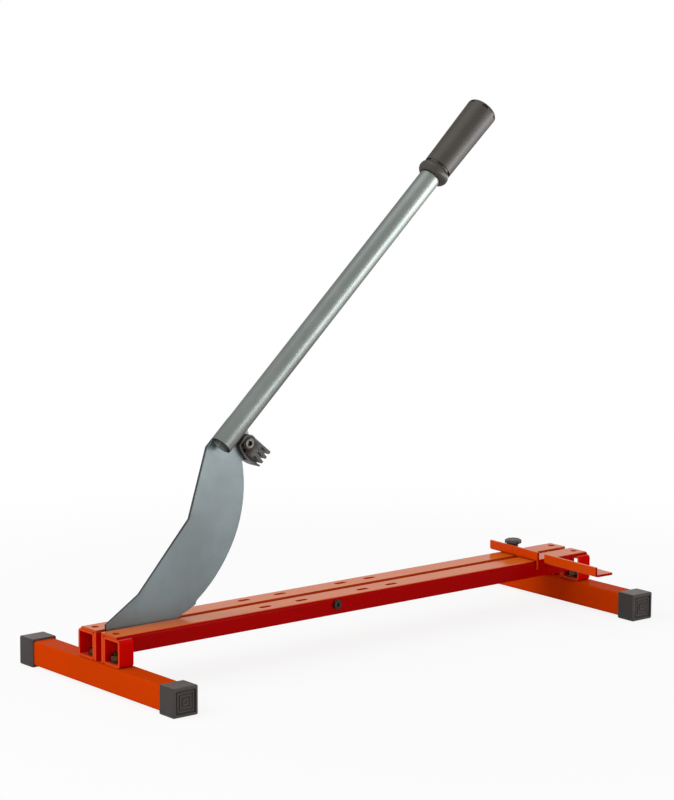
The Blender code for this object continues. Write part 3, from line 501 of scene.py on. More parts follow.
def paint_material(name, look, tones, gloss, top_gloss, side_from=0.0):
    """Glossy powder coat, with painted light and shade: a tone for each of the faces in front,
    beside and on top.
    """
    front, side, top = map(colour, tones)
    surface = Surface(name, Specular_IOR_Level=0.0, Coat_Roughness=look.roughness)
    faces = surface.group(
        "painted light by facing", Colour=front, Side_colour=side, Top_colour=top, Gloss=gloss,
        Side_gloss=gloss * look.side_gloss, Top_gloss=top_gloss, Side_from=side_from)
    base = faces["Colour"]
    tone = surface.clouded(base, surface.times(base, 0.86), Cloud_scale=7.0, Cloud_amount=0.35,
                           Speck_scale=1400.0, Speck_amount=0.08)
    coat = surface.group("orange peel", Roughness=look.roughness, Roughness_change=0.06)
    surface.fill(surface.shader, {"Coat Weight": faces["Gloss"]})
    return surface.coated(tone, coat, look.peel_height)


def plastic_material(name, look, end=1.0, top=1.0, grain=0.00003, **constants):
    """Moulded plastic, with painted light that makes its faces along Y and those that look up
    lighter by the given shares.
    """
    surface = Surface(name, **{"Specular_IOR_Level": 0.45, **constants})
    shades = []
    for factor in (1.0, 1.25):
        plain = scaled(look.plastic, factor)
        shades.append(surface.by_side(plain, scaled(plain, end), scaled(plain, top)))
    tone = surface.clouded(*shades, Cloud_scale=40.0, Cloud_amount=0.5, Speck_scale=2500.0,
                           Speck_amount=0.25)
    relief = surface.group("moulded grain", Roughness=look.roughness, Roughness_change=0.12)
    return surface.coated(tone, relief, grain)


def steel_material(name, base, cloud, roughness, turn=(0, 0, 0), stretch=(1, 1, 1),
                   line_scale=500.0, line_height=0.000004, cloud_scale=60.0, cloud_amount=0.6,
                   edge_tint=1.0, painted_rim_shade=None):
    """Plated steel whose drawn lines run along the long axis of a turned, stretched space."""
    surface = Surface(name, Metallic=1.0, Specular_Tint=colour((edge_tint,) * 3))
    along = surface.add("ShaderNodeMapping", {"Vector": surface.space(), "Rotation": turn})
    drawn = surface.add("ShaderNodeMapping", {"Vector": along.outputs[0], "Scale": stretch})
    lines = surface.group("drawn lines", Vector=drawn.outputs[0], Line_scale=line_scale,
                          Roughness=roughness, Roughness_change=0.14)
    shades = [colour(base), colour(cloud)]
    # Painted shade: the faces that don't look along Y, such as a plate's cut rim, are darkened by
    # this share.
    if painted_rim_shade is not None:
        for i, face in enumerate((base, cloud)):
            dark = scaled(face, painted_rim_shade)
            shades[i] = surface.by_side(dark, face, dark)
    tone = surface.clouded(*shades, Cloud_scale=cloud_scale, Cloud_amount=cloud_amount,
                           Speck_scale=1500.0, Speck_amount=0.12)
    return surface.coated(tone, lines, line_height)


# Geometry Nodes trees for what repeats

class GeometryTree(Tree):
    """A Geometry Nodes tree with named inputs, ended with one material."""

    def __init__(self, name, inputs):
        super().__init__(bpy.data.node_groups.new(name, "GeometryNodeTree"))
        self.tree.is_modifier = True
        self.given = self.given_by({"Geometry": "Geometry", **inputs, "Material": "Material"})

    def made(self, kind, inputs=None, **settings):
        """The first output of a new geometry node."""
        return self.add(f"GeometryNode{kind}", inputs, **settings).outputs[0]

    def joined(self, *parts):
        join = self.add("GeometryNodeJoinGeometry")
        for part in reversed(parts):
            self.tree.links.new(part, join.inputs[0])
        return join.outputs[0]

    def end(self, geometry):
        whole = self.made("RealizeInstances", {"Geometry": geometry})
        inputs = {"Geometry": whole, "Material": self.given["Material"]}
        return self.end_with({"Geometry": self.made("SetMaterial", inputs)})


def build_thread_tree():
    """Rings along the axis of a screw: one ridge of its thread at each pitch."""
    tree = GeometryTree("thread ridges", {
        "Core radius": 0.0035, "Ridge": 0.0006, "Pitch": 0.00125, "Count": 10,
        "Start": (0, 0, 0), "Axis": (0, 0, 1), "Sides": 32})
    given = tree.given
    line = tree.made("MeshLine", {
        "Count": given["Count"], "Start Location": given["Start"],
        "Offset": tree.times(given["Axis"], given["Pitch"])})
    circle = tree.made("CurvePrimitiveCircle", {
        "Resolution": given["Sides"], "Radius": given["Core radius"]})
    profile = tree.made("CurvePrimitiveCircle", {
        "Resolution": 4, "Radius": given["Ridge"]})
    ridge = tree.made("CurveToMesh", {"Curve": circle, "Profile Curve": profile})
    turn = tree.add("FunctionNodeAlignRotationToVector", {"Vector": given["Axis"]}, axis="Z")
    rings = tree.made("InstanceOnPoints", {
        "Points": line, "Instance": ridge, "Rotation": turn.outputs[0]})
    return tree.end(tree.joined(given["Geometry"], rings))


def build_weld_tree():
    """Overlapping ripples of a weld along the edges of the mesh that it is given."""
    tree = GeometryTree("weld ripples", {
        "Spacing": 0.0011, "Radius": 0.0014, "Unevenness": 0.12, "Seed": 3})
    given = tree.given
    path = tree.made("MeshToCurve", {"Mesh": given["Geometry"]})
    spots = tree.add("GeometryNodeCurveToPoints", {"Curve": path, "Length": given["Spacing"]},
                     mode="LENGTH").outputs
    ripple = tree.made("MeshUVSphere", {
        "Segments": 14, "Rings": 9, "Radius": given["Radius"]})
    size = tree.add("FunctionNodeRandomValue", {
        2: tree.maths("SUBTRACT", 1.0, given["Unevenness"]),
        3: tree.maths("ADD", 1.0, given["Unevenness"]), "Seed": given["Seed"]}, data_type="FLOAT")
    return tree.end(tree.made("InstanceOnPoints", {
        "Points": spots["Points"], "Instance": ripple, "Rotation": spots["Rotation"],
        "Scale": size.outputs[1]}))


def build_moulding_tree():
    """Square ridges, one inside the other, on the flat end of a cap."""
    tree = GeometryTree("square mouldings", {
        "Largest": 0.023, "Step": 0.006, "Count": 3, "Width": 0.0012, "Height": 0.0007,
        "Place": (0, 0, 0), "Turn": (0, 0, 0)})
    given = tree.given
    points = tree.made("Points", {"Count": given["Count"]})
    index = tree.made("InputIndex")
    profile = tree.made("CurvePrimitiveQuadrilateral", {
        "Width": given["Height"], "Height": given["Width"]})
    square = tree.made("CurvePrimitiveQuadrilateral", {"Width": 1.0, "Height": 1.0})
    fall = tree.maths("MULTIPLY", index, given["Step"])
    squares = tree.made("InstanceOnPoints", {
        "Points": points, "Instance": square,
        "Scale": tree.maths("SUBTRACT", given["Largest"], fall)})
    paths = tree.made("RealizeInstances", {"Geometry": squares})
    ridges = tree.made("CurveToMesh", {
        "Curve": paths, "Profile Curve": profile, "Fill Caps": True})
    placed = tree.made("Transform", {
        "Geometry": ridges, "Translation": given["Place"], "Rotation": given["Turn"]})
    return tree.end(tree.joined(given["Geometry"], placed))


TREES = {}
TREE_BUILDERS = {"thread": build_thread_tree, "weld": build_weld_tree,
                 "moulding": build_moulding_tree}


def grown(piece, name, material, **values):
    """Runs a Geometry Nodes tree on the piece and keeps its result as plain mesh."""
    if name not in TREES:
        TREES[name] = TREE_BUILDERS[name]()
    modifier = piece.modifiers.new(name, "NODES")
    modifier.node_group = TREES[name]
    sockets = {item.name: item.identifier for item in TREES[name].interface.items_tree
               if item.in_out == "INPUT"}
    for key, value in {"Material": material, **named(values)}.items():
        modifier[sockets[key]] = value
    return applied(piece)


# Sizes and colours that a user would change

def level(description, default, **limits):
    return FloatProperty(description=description, default=default, min=0, **limits)


def length(description, default):
    return level(description, default, unit="LENGTH", precision=5)


def share(description, default):
    return level(description, default, max=1)


def number(description, default, low, high):
    return IntProperty(description=description, default=default, min=low, max=high)


def tint(description, default):
    return FloatVectorProperty(description=description, default=default, min=0, max=1,
                               subtype="COLOR", size=3)


class PaintLook(bpy.types.PropertyGroup):
    feet: tint("Powder coat of the two feet", (0.60, 0.047, 0.0006))
    # Painted light: a lighter tone of the coat on the feet's tops.
    feet_top: tint("The same coat on faces that look up", (0.62, 0.056, 0.0020))
    rails: tint("Powder coat of the rails", (0.60, 0.055, 0.0010))
    # Painted shade: a darker, redder tone of the coat on the flanges and on the side faces of the
    # feet and fence.
    rails_shaded_side: tint("The same coat on the flanges", (0.44, 0.0010, 0.0010))
    # Painted light: a lighter, oranger tone of the coat on the tops of the rails and fence.
    rails_lit_top: tint("The same coat on faces that look up", (0.72, 0.145, 0.0140))
    boxes: tint("Powder coat of the boxes and plates", (0.68, 0.060, 0.0050))
    # Painted shade: a deep red tone of the coat on the sides of the boxes and plates.
    boxes_shaded_side: tint("The same coat on the boxes' sides", (0.74, 0.0015, 0.0012))
    # Painted light and shade: a darker, pinker tone of the coat on the tops of the boxes and
    # plates.
    boxes_top: tint("The same coat on faces that look up", (0.62, 0.045, 0.0180))
    fence: tint("Powder coat of the fence", (0.70, 0.062, 0.0008))
    roughness: share("Roughness of the glossy coat", 0.16)
    feet_gloss: share("Strength of the reflection on the feet", 0.012)
    feet_top_gloss: share("Strength of the reflection on the feet's tops", 0.08)
    boxes_top_gloss: share("Strength of the reflection on their tops", 0.40)
    gloss: share("Strength of the coat's reflection elsewhere", 0.22)
    side_gloss: share("Share of that reflection on upright side faces", 0.20)
    top_gloss: share("Strength of the reflection on the faces that look up", 0.60)
    peel_height: length("Height of the coat's gentle waves", 0.00006)
    edge: length("Width by which sheet edges are broken under the paint", 0.0005)


class SteelLook(bpy.types.PropertyGroup):
    blade: tint("Plated steel plate of the blade", (0.122, 0.138, 0.141))
    blade_cloud: tint("Soft clouds in the blade's plating", (0.155, 0.183, 0.191))
    tube: tint("Plated steel of the handle tube", (0.190, 0.209, 0.197))
    tube_cloud: tint("Soft clouds in the tube's plating", (0.230, 0.250, 0.240))
    # Partly painted shade and reflection: the plating's dark reddish-brown tone also stands in for
    # the shade and the red reflection of the boxes around the nuts.
    zinc: tint("Zinc plating of nuts, bolts and washers", (0.085, 0.040, 0.020))
    blade_roughness: share("Roughness of the blade's satin face", 0.38)
    tube_roughness: share("Roughness of the handle tube", 0.31)
    # Painted shade on the blade's cut rim: the share of the plate's tone that the rim keeps.
    painted_rim_shade: share("Brightness of the cut rim against the plated face", 0.34)
    blade_edge: length("Width of the broken edge around the blade", 0.0007)
    tube_sides: number("Faces around the handle tube", 112, 24, 256)
    tube_lip: length("Rounding at the open end of the tube", 0.0004)
    weld_radius: length("Half the width of the weld between tube and blade", 0.0013)


class GripLook(bpy.types.PropertyGroup):
    plastic: tint("Dark moulded grip", (0.038, 0.031, 0.024))
    roughness: share("Roughness of the grip", 0.36)
    polish: share("Strength of the reflection on the hand-worn grip", 0.21)
    grip_length: length("Length of the grip along the tube", 0.120)
    inner: length("Grip diameter beside the collar", 0.0360)
    outer: length("Grip diameter at its closed end", 0.0404)
    collar: length("Diameter of the bead at the open end", 0.0402)
    collar_length: length("Length of the bead", 0.0138)
    notches: number("Notches in each ring", 6, 0, 24)
    sides: number("Faces around the grip", 120, 24, 240)


class BufferLook(bpy.types.PropertyGroup):
    plastic: tint("Dark moulded buffer", (0.058, 0.050, 0.045))
    roughness: share("Roughness of the buffer", 0.42)
    tines: number("Tines of the comb", 4, 1, 8)
    rim: length("Wall left around the pockets", 0.0016)
    pocket: length("Depth of the pocket beside the boss", 0.0054)
    channel: length("Depth of the channel behind the rim", 0.0022)


class CapLook(bpy.types.PropertyGroup):
    plastic: tint("Dark moulded caps on the feet", (0.029, 0.024, 0.022))
    roughness: share("Roughness of the caps", 0.46)
    corner: length("Rounding of the caps' corners", 0.0022)
    panel: length("Side of the sunk square on a cap's end", 0.0272)
    panel_depth: length("Depth of that square", 0.0017)
    mouldings: number("Square ridges on a cap's end", 3, 0, 6)


class KnobLook(bpy.types.PropertyGroup):
    plastic: tint("Dark moulded knob on the fence", (0.050, 0.045, 0.041))
    roughness: share("Roughness of the knob", 0.40)
    diameter: length("Diameter over the lobes", 0.0222)
    head: length("Height of the lobed head", 0.0062)
    hub: length("Diameter of the hub below the head", 0.0134)
    lobes: number("Lobes around the knob", 8, 3, 16)
    lobe_depth: length("Depth of the hollows between lobes", 0.0013)


class DiscLook(bpy.types.PropertyGroup):
    plastic: tint("Pale plastic of the discs beside the blade", (0.66, 0.64, 0.57))
    roughness: share("Roughness of the discs", 0.38)


class StageLook(bpy.types.PropertyGroup):
    floor: tint("Colour of the floor", (0.93, 0.93, 0.93))
    floor_size: length("Side of the floor", 24.0)
    floor_fade: share("How far the white hides the shadow under the frame", 0.86)
    floor_glow: level("Extra light of the lit floor that the tube mirrors", 8.5)
    world: level("Even light from all round", 0.43)
    key: level("Power of the large light from the left", 54.0, unit="POWER")
    rim: level("Power of the strip light from the right", 9.0, unit="POWER")
    top: level("Power of the light from above", 14.0, unit="POWER")


LOOKS = {"cutter_paint": PaintLook, "cutter_steel": SteelLook, "cutter_grip": GripLook,
         "cutter_buffer": BufferLook, "cutter_caps": CapLook, "cutter_knob": KnobLook,
         "cutter_discs": DiscLook, "cutter_stage": StageLook}


# Pieces

class Maker:
    """What the operators share: each makes its pieces from its own settings in the scene."""

    def execute(self, context):
        self.make(getattr(context.scene, self.settings))
        return {"FINISHED"}


class PaintedMetal(Maker, bpy.types.Operator):
    """Breaks the edges of the painted sheet and tube, and coats them"""
    bl_idname = "cutter.painted_metal"
    bl_label = "Painted frame and fence"
    settings = "cutter_paint"

    def make(self, look):
        low, top = look.gloss / 2, look.top_gloss
        # Each row: the part, its tones in front, beside and on top (painted shade and light), its
        # gloss in front and on top with where the side tone starts, its nodes and its body.
        work = (
            ("feet", (look.feet, look.rails_shaded_side, look.feet_top),
             (look.feet_gloss, look.feet_top_gloss), FEET, "frame"),
            ("rails", (look.rails, look.rails_shaded_side, look.rails_lit_top),
             (look.gloss, top, RAIL_FLANGE_FROM), RAILS, "frame"),
            ("boxes", (look.boxes, look.boxes_shaded_side, look.boxes_top),
             (low, look.boxes_top_gloss), BOXES + PLATES, "frame"),
            ("fence", (look.fence, look.rails_shaded_side, look.rails_lit_top),
             (low, top), ("fence",), "fence"))
        for part, tones, gloss, nodes, body in work:
            coat = paint_material(f"paint on the {part}", look, tones, *gloss)
            for node in nodes:
                piece = round_edges(copy_of(node, f"{node}_painted"), look.edge)
                finish(baked(piece), coat, body, "paint", node)


class Blade(Maker, bpy.types.Operator):
    """Makes the blade with its broken edges and plated faces"""
    bl_idname = "cutter.blade"
    bl_label = "Blade"
    settings = "cutter_steel"

    def make(self, look):
        # The blade's cut rim gets a painted shade, darker than its faces.
        plate = steel_material("plated blade", look.blade, look.blade_cloud, look.blade_roughness,
                               (0, LEVER_REST_ANGLE, 0), (1.0, 1.0, 0.12), line_scale=420.0,
                               cloud_scale=9.0, cloud_amount=0.8, painted_rim_shade=look.painted_rim_shade)
        piece = round_edges(copy_of("blade", "blade_plate"), look.blade_edge)
        finish(baked(piece), plate, "lever", "blade_steel", "blade")


class HandleTube(Maker, bpy.types.Operator):
    """Makes the handle tube and the weld that holds it on the blade"""
    bl_idname = "cutter.handle_tube"
    bl_label = "Handle tube and weld"
    settings = "cutter_steel"

    def make(self, look):
        steel = steel_material("plated tube", look.tube, look.tube_cloud, look.tube_roughness,
                               (0, LEVER_REST_ANGLE, 0), (0.02, 1.0, 1.0), line_scale=900.0,
                               line_height=0.0000007, cloud_scale=20.0, cloud_amount=0.7,
                               edge_tint=0.55)
        far = box_along(LEVER, "handle_tube")[1].x
        outer = TUBE_DIAMETER / 2
        inner = outer - TUBE_WALL
        lip = look.tube_lip
        turns = [(lip * (1 - cos(a)), lip * (1 - sin(a))) for a in (0, pi / 4, pi / 2)]
        mouth = [(inner + less, TUBE_MOUTH + more) for less, more in turns]
        mouth += [(outer - more, TUBE_MOUTH + less) for less, more in turns]
        tube = lathe("handle_tube_plated", [*mouth, (outer, far), (inner, far)], look.tube_sides)
        moved(smooth_by_angle(tube, ROUND_ANGLE), LEVER @ at(0, -TUBE_SIDE, TUBE_LIFT, ALONG_X))
        finish(tube, steel, "lever", "tube_steel", "handle_tube")
        self.add_weld(look, steel)

    def add_weld(self, look, steel):
        """Two lines of ripples in the hollows above and below the line where tube meets blade."""
        radius = look.weld_radius
        reach = radius * 3.2
        drop = -BLADE_THICKNESS / 2 - radius * 0.55
        solid = bmesh.new()
        for lift in (TUBE_LIFT + reach, TUBE_LIFT - reach * 1.3):
            ends = [solid.verts.new(LEVER @ Vector((u, drop, lift)))
                    for u in (TUBE_MOUTH + radius * 2, BLADE_REACH - radius * 1.2)]
            solid.edges.new(ends)
        weld = mesh_object("tube_weld", solid)
        grown(weld, "weld", steel, Spacing=radius * 0.8, Radius=radius)
        finish(smooth_by_angle(weld, ROUND_ANGLE), steel, "lever", "tube_steel")


class Grip(Maker, bpy.types.Operator):
    """Turns the moulded grip with its bead collar and rings of notches"""
    bl_idname = "cutter.grip"
    bl_label = "Grip"
    settings = "cutter_grip"

    def make(self, look):
        plastic = plastic_material("grip plastic", look, Specular_IOR_Level=0.0,
                                   Coat_Weight=look.polish, Coat_IOR=2.5,
                                   Coat_Roughness=look.roughness)
        crown, wall, corner = 0.002, 0.005, 0.005
        groove, groove_depth = 0.0024, 0.0009
        bead_middle, mouth, edge = 0.0076, 0.0155, 0.0003

        def radius(height):
            return (look.inner + (look.outer - look.inner) * height / look.grip_length) / 2

        full = look.grip_length
        shoulder = full - corner
        bore = TUBE_DIAMETER / 2 + TOUCH_GAP
        top = look.collar_length + groove
        root = radius(top) - groove_depth
        dome = arc((radius(shoulder) - corner, shoulder), corner, pi / 2, 0, 12)
        first = dome[0]
        crown_arc = arc_through((0.0001, full + crown), (first[0] * 0.55, full + crown * 0.72),
                                first, 6)[1:-1]
        steps = [shoulder + (top - shoulder) * i / 12 for i in range(1, 12)]
        body = [(radius(height), height) for height in steps]
        bead = arc_through((root, look.collar_length), (look.collar / 2, bead_middle),
                           (mouth, 0), 18)
        profile = [(0, full + crown), *crown_arc, *dome, *body,
                   (radius(top), top + edge), (radius(top) - edge, top), (root, top), *bead,
                   (bore + edge, 0), (bore, edge), (bore, full - wall), (0, full - wall)]
        grip = lathe("grip_moulded", profile, look.sides)
        cut(grip, self.notches(look, radius, (look.collar_length + groove / 2, shoulder)))
        inner_end = LEVER_REACH - full - crown
        moved(baked(grip), LEVER @ at(inner_end, -TUBE_SIDE, TUBE_LIFT, ALONG_X))
        finish(grip, plastic, "lever", "plastic", "handle_grip")

    def notches(self, look, radius, heights):
        """The cutters of the notches, in one ring at each height."""
        depth, width, tall = 0.0022, 0.0078, 0.0024
        first_turn = radians(25.5)
        size = Matrix.Diagonal((depth + 2 * OVERRUN, width, tall, 1))
        solid = bmesh.new()
        for height in heights:
            reach = radius(height) + OVERRUN - depth / 2
            for i in range(look.notches):
                spin = turned(first_turn + 2 * pi * i / look.notches, "Z")
                bmesh.ops.create_cube(solid, size=1, matrix=spin @ at(reach, 0, height) @ size)
        return mesh_object("grip notches", solid)


class Buffer(Maker, bpy.types.Operator):
    """Makes the comb-shaped buffer with its boss, pockets and rim"""
    bl_idname = "cutter.buffer"
    bl_label = "Buffer"
    settings = "cutter_buffer"

    def make(self, look):
        plastic = plastic_material("buffer plastic", look)
        side = 0.0085
        ring, ring_rise, hole = 0.0076, 0.0006, 0.0043
        sink, sink_depth = 0.0068, 0.0048
        outline, belly = self.outline(look)
        comb = slab("buffer_moulded", outline, -side, side)
        pocket = arc((0, 0), ring, radians(118), radians(205), 10)
        pocket += [(-0.0116, -0.0042), (-0.0127, -0.0005), (-0.0118, 0.0038), (-0.0100, 0.0076),
                   (-0.0070, 0.0082)]
        outer = [(x + look.rim * 1.15, y + look.rim * 0.2) for x, y in belly[1:12]]
        inner = [(x + look.rim * 2.5, y + look.rim * 0.5) for x, y in belly[1:12]]
        hollows = (("pocket", pocket, look.pocket), ("channel", outer + inner[::-1], look.channel))
        for face in (-1, 1):
            for name, shape, depth in hollows:
                ends = sorted((face * (side - depth), face * (side + OVERRUN)))
                cut(comb, slab(f"buffer {name} {face}", shape, *ends))
        cut(comb, plug("buffer hole", hole, -side - OVERRUN, side + OVERRUN, sides=48))
        boss = [(0, side - ring_rise), (ring, side - ring_rise), (ring, side),
                (ring - ring_rise, side + ring_rise), (0, side + ring_rise)]
        cut(comb, lathe("buffer boss", boss, sides=64), "UNION")
        cut(comb, plug("buffer sink", sink, side - sink_depth, side + OVERRUN, sides=48))
        place = LEVER @ at(*BUFFER_SEAT, ALONG_Y)
        low = BLADE_CORNER_LIFT - TOUCH_GAP
        slot = cuboid("buffer slot", (0.08, BLADE_THICKNESS + 2 * TOUCH_GAP, TUBE_LIFT - low),
                      (BUFFER_SEAT[0], 0, (TUBE_LIFT + low) / 2))
        cut(comb, moved(slot, place.inverted() @ LEVER))
        moved(baked(round_edges(comb, width=0.0004)), place)
        finish(comb, plastic, "lever", "plastic", "buffer")

    def outline(self, look):
        """The comb around its boss at the origin, and the points of its curved back."""
        boss, left, right, drop = 0.0105, 0.0150, 0.0145, 0.0329
        tine, gap, root_step, tine_length, taper = 0.0046, 0.0028, 0.0006, 0.0150, 0.0008
        outline = arc((0, 0), boss, pi / 2, 0, 14)
        outline.append((0.0107, -0.0040))
        far = right
        for i in range(look.tines - 1):
            near = right - i * (tine + gap) - tine
            root = tine_length - drop + i * root_step
            outline += [(far, -drop), (near + taper, -drop), (near, root), (near - gap, root)]
            far = near - gap - taper
        tip = right - (look.tines - 1) * (tine + gap)
        outline.append((tip, -drop))
        belly = arc_through((tip - gap / 2, -drop), (-left, -0.0120), (-0.0110, 0.0086), 18)
        return outline + belly, belly


class FootCaps(Maker, bpy.types.Operator):
    """Makes the four caps with their sunk end panels and square mouldings"""
    bl_idname = "cutter.foot_caps"
    bl_label = "Foot caps"
    settings = "cutter_caps"

    def make(self, look):
        # Painted light: the caps' ends are twice as light and their tops 3.3 times as light as the
        # rest.
        plastic = plastic_material("cap plastic", look, end=2.0, top=3.3, Specular_IOR_Level=0.28)
        wall, hollow = 0.003, 0.0306
        for corner in CORNERS:
            node = f"foot_cap_{corner}"
            middle, size = span_of(*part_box(node))
            outer = size.y / 2
            cap = round_edges(cuboid(f"{node}_moulded", size), look.corner, segments=4)
            cut(cap, cuboid("cap hollow", (hollow, size.y, hollow), (0, -wall, 0)))
            cut(cap, cuboid("cap panel", (look.panel, 2 * look.panel_depth, look.panel),
                            (0, outer, 0)))
            grown(baked(cap), "moulding", plastic, Largest=look.panel - 0.0052, Step=0.0078,
                  Count=look.mouldings, Width=0.0021, Height=look.panel_depth * 1.7,
                  Place=(0, outer - look.panel_depth, 0), Turn=(pi / 2, 0, 0))
            turn = pi if corner.endswith("right") else 0
            moved(cap, at(*middle, turned(turn, "Z")))
            finish(cap, plastic, "frame", "plastic", node)


class FenceKnob(Maker, bpy.types.Operator):
    """Makes the lobed knob that clamps the fence"""
    bl_idname = "cutter.fence_knob"
    bl_label = "Fence knob"
    settings = "cutter_knob"

    def make(self, look):
        plastic = plastic_material("knob plastic", look)
        bore, bore_depth = 0.0048, 0.0108
        low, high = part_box("fence_knob")
        middle = span_of(low, high)[0]
        sides = look.lobes * 14
        solid = bmesh.new()
        loops = []
        for radius, z, lobed in self.rings(look, high.z - low.z):
            loop = []
            for i in range(sides):
                angle = 2 * pi * i / sides
                reach = radius - look.lobe_depth * lobed * (1 - cos(look.lobes * angle)) / 2
                loop.append(solid.verts.new((reach * cos(angle), reach * sin(angle), z)))
            loops.append(loop)
        for near, far in zip(loops, loops[1:]):
            for i in range(sides):
                solid.faces.new((near[i - 1], near[i], far[i], far[i - 1]))
        solid.faces.new(loops[0])
        solid.faces.new(loops[-1])
        knob = mesh_object("fence_knob_moulded", closed(solid))
        cut(knob, plug("knob bore", bore, -OVERRUN, bore_depth, sides=40))
        moved(baked(knob), at(middle.x, middle.y, low.z))
        finish(knob, plastic, "knob", "plastic", "fence_knob")

    def rings(self, look, height):
        """Radius, height and share of the lobes, from the foot of the hub to the sunk top."""
        head = height - look.head
        full, hub = look.diameter / 2, look.hub / 2
        return [(hub - 0.0008, 0, 0), (hub - 0.0003, 0.0005, 0), (hub, head - 0.0010, 0),
                (hub + 0.0006, head - 0.0002, 0.1), (full - 0.0020, head, 0.7),
                (full - 0.0006, head + 0.0005, 1), (full, head + 0.0016, 1),
                (full, height - 0.0022, 1), (full - 0.0005, height - 0.0009, 1),
                (full - 0.0018, height - 0.0002, 0.8), (full - 0.0034, height, 0.3),
                (full - 0.0046, height - 0.0001, 0), (full - 0.0052, height - 0.0007, 0),
                (full - 0.0070, height - 0.0007, 0)]


def hex_prism(name, flats, low, high, chamfer_high):
    """A hexagon with the rounded-off corners that turned nuts and bolt heads have."""
    across = flats / sqrt(3)
    outline = [(across * cos(pi * i / 3), across * sin(pi * i / 3)) for i in range(6)]
    prism = slab(name, outline, low, high)
    fall = (across - flats / 2) * 0.62
    reach = across + OVERRUN / 10
    face = flats / 2 * 0.97
    profile = [(0, low), (face, low), (reach, low + fall)]
    profile += [(reach, high - fall), (face, high)] if chamfer_high else [(reach, high)]
    cut(prism, lathe(f"{name} drum", [*profile, (0, high)], sides=48), "INTERSECT")
    return prism


class Fasteners(Maker, bpy.types.Operator):
    """Makes the chamfered nuts and the threaded bolts, and plates the other small metal"""
    bl_idname = "cutter.fasteners"
    bl_label = "Fasteners"
    settings = "cutter_steel"

    def make(self, look):
        # The zinc's dark reddish tone is partly painted shade and a painted red reflection.
        zinc = steel_material("zinc plate", look.zinc, scaled(look.zinc, 0.8), 0.24,
                              line_height=0.000005)
        black = steel_material("blackened steel", (0.030, 0.027, 0.025), (0.048, 0.044, 0.040),
                               0.30, cloud_scale=80.0, edge_tint=0.5)
        brass = steel_material("turned brass", (0.62, 0.42, 0.14), (0.52, 0.34, 0.11), 0.28,
                               stretch=(1, 1, 0.1), line_scale=900.0, cloud_amount=0.5)
        worn = steel_material("worn black steel", (0.105, 0.098, 0.092), (0.05, 0.046, 0.043),
                              0.34, cloud_scale=160.0, cloud_amount=0.8)
        nylon = plastic_material("natural nylon", bpy.context.scene.cutter_discs, grain=0.00001)
        plain = {name: zinc for name in NODES
                 if "washer" in name or name in ("tie_spacer", "pivot_bush", "fence_bolt")}
        plain.update(pivot_disc_left=nylon, pivot_disc_right=nylon, knob_insert=brass)
        for name, material in plain.items():
            give(NODES[name], material)
        for name, body, steel in (("tie_bolt", "frame", black), ("buffer_screw", "lever", worn)):
            piece = round_edges(copy_of(name, f"{name}_black"), width=0.0002, segments=1)
            finish(baked(piece), steel, body, "dark_steel", name)
        # Width across flats and radius of the hole
        nuts = [(f"frame_nut_{corner}", 0.013, 0.0043, "frame") for corner in CORNERS]
        nuts += [("pivot_nut", 0.017, 0.0053, "frame"), ("tie_nut", 0.010, 0.0033, "frame"),
                 ("buffer_nut", 0.013, 0.0043, "lever")]
        # Width across flats, height of the head, diameter and pitch, and whether it is upright
        bolts = [(f"frame_bolt_{corner}", 0.013, 0.0053, 0.008, 0.00125, True)
                 for corner in CORNERS]
        bolts.append(("pivot_bolt", 0.017, 0.0064, 0.010, 0.0015, False))
        for nut in nuts:
            self.add_nut(*nut, zinc)
        for bolt in bolts:
            self.add_bolt(*bolt, zinc)

    def add_nut(self, name, flats, hole, body, material):
        """The nut's axis and height come from the CAD node that it stands for."""
        base = LEVER if body == "lever" else Matrix.Identity(4)
        middle, size = span_of(*box_along(base, name))
        upright = name.startswith("frame_nut")
        half = (size.z if upright else size.y) / 2
        nut = hex_prism(f"{name}_plated", flats, -half, half, True)
        cut(nut, plug("nut bore", hole, -half - OVERRUN, half + OVERRUN, sides=40))
        moved(baked(nut), base @ at(*middle, None if upright else ALONG_Y))
        finish(nut, material, body, "zinc", name)

    def add_bolt(self, name, flats, head_height, diameter, pitch, upright, material):
        middle, size = span_of(*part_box(name))
        span = size.z if upright else size.y
        low, high = -span / 2, span / 2
        ridge = pitch * 0.42
        core = diameter / 2 - ridge
        tip = core * 0.22
        head = baked(hex_prism("bolt head", flats, low, head_height + low, False))
        neck = low + head_height
        shank = lathe("bolt shank", [(0, neck), (core - tip, neck), (core, neck + tip),
                                     (core, high), (0, high)], sides=40)
        bolt = joined(f"{name}_plated", head, smooth_by_angle(shank))
        threaded = span * 0.45
        turns = int(threaded / pitch)
        grown(bolt, "thread", material, Core_radius=core, Ridge=ridge, Pitch=pitch, Count=turns,
              Start=(0, 0, high - pitch * (turns - 0.3)), Axis=(0, 0, 1))
        turn = None if upright else ALONG_Y @ turned(pi, "X")
        finish(smooth_by_angle(moved(bolt, at(*middle, turn))), material, "frame", "zinc", name)


def rays(tree):
    """The kinds of ray, and which of them see the white surround itself."""
    path = tree.add("ShaderNodeLightPath").outputs
    seen = tree.maths("MAXIMUM", path["Is Camera Ray"], path["Is Glossy Ray"])
    return path, tree.maths("MAXIMUM", seen, path["Is Transmission Ray"])


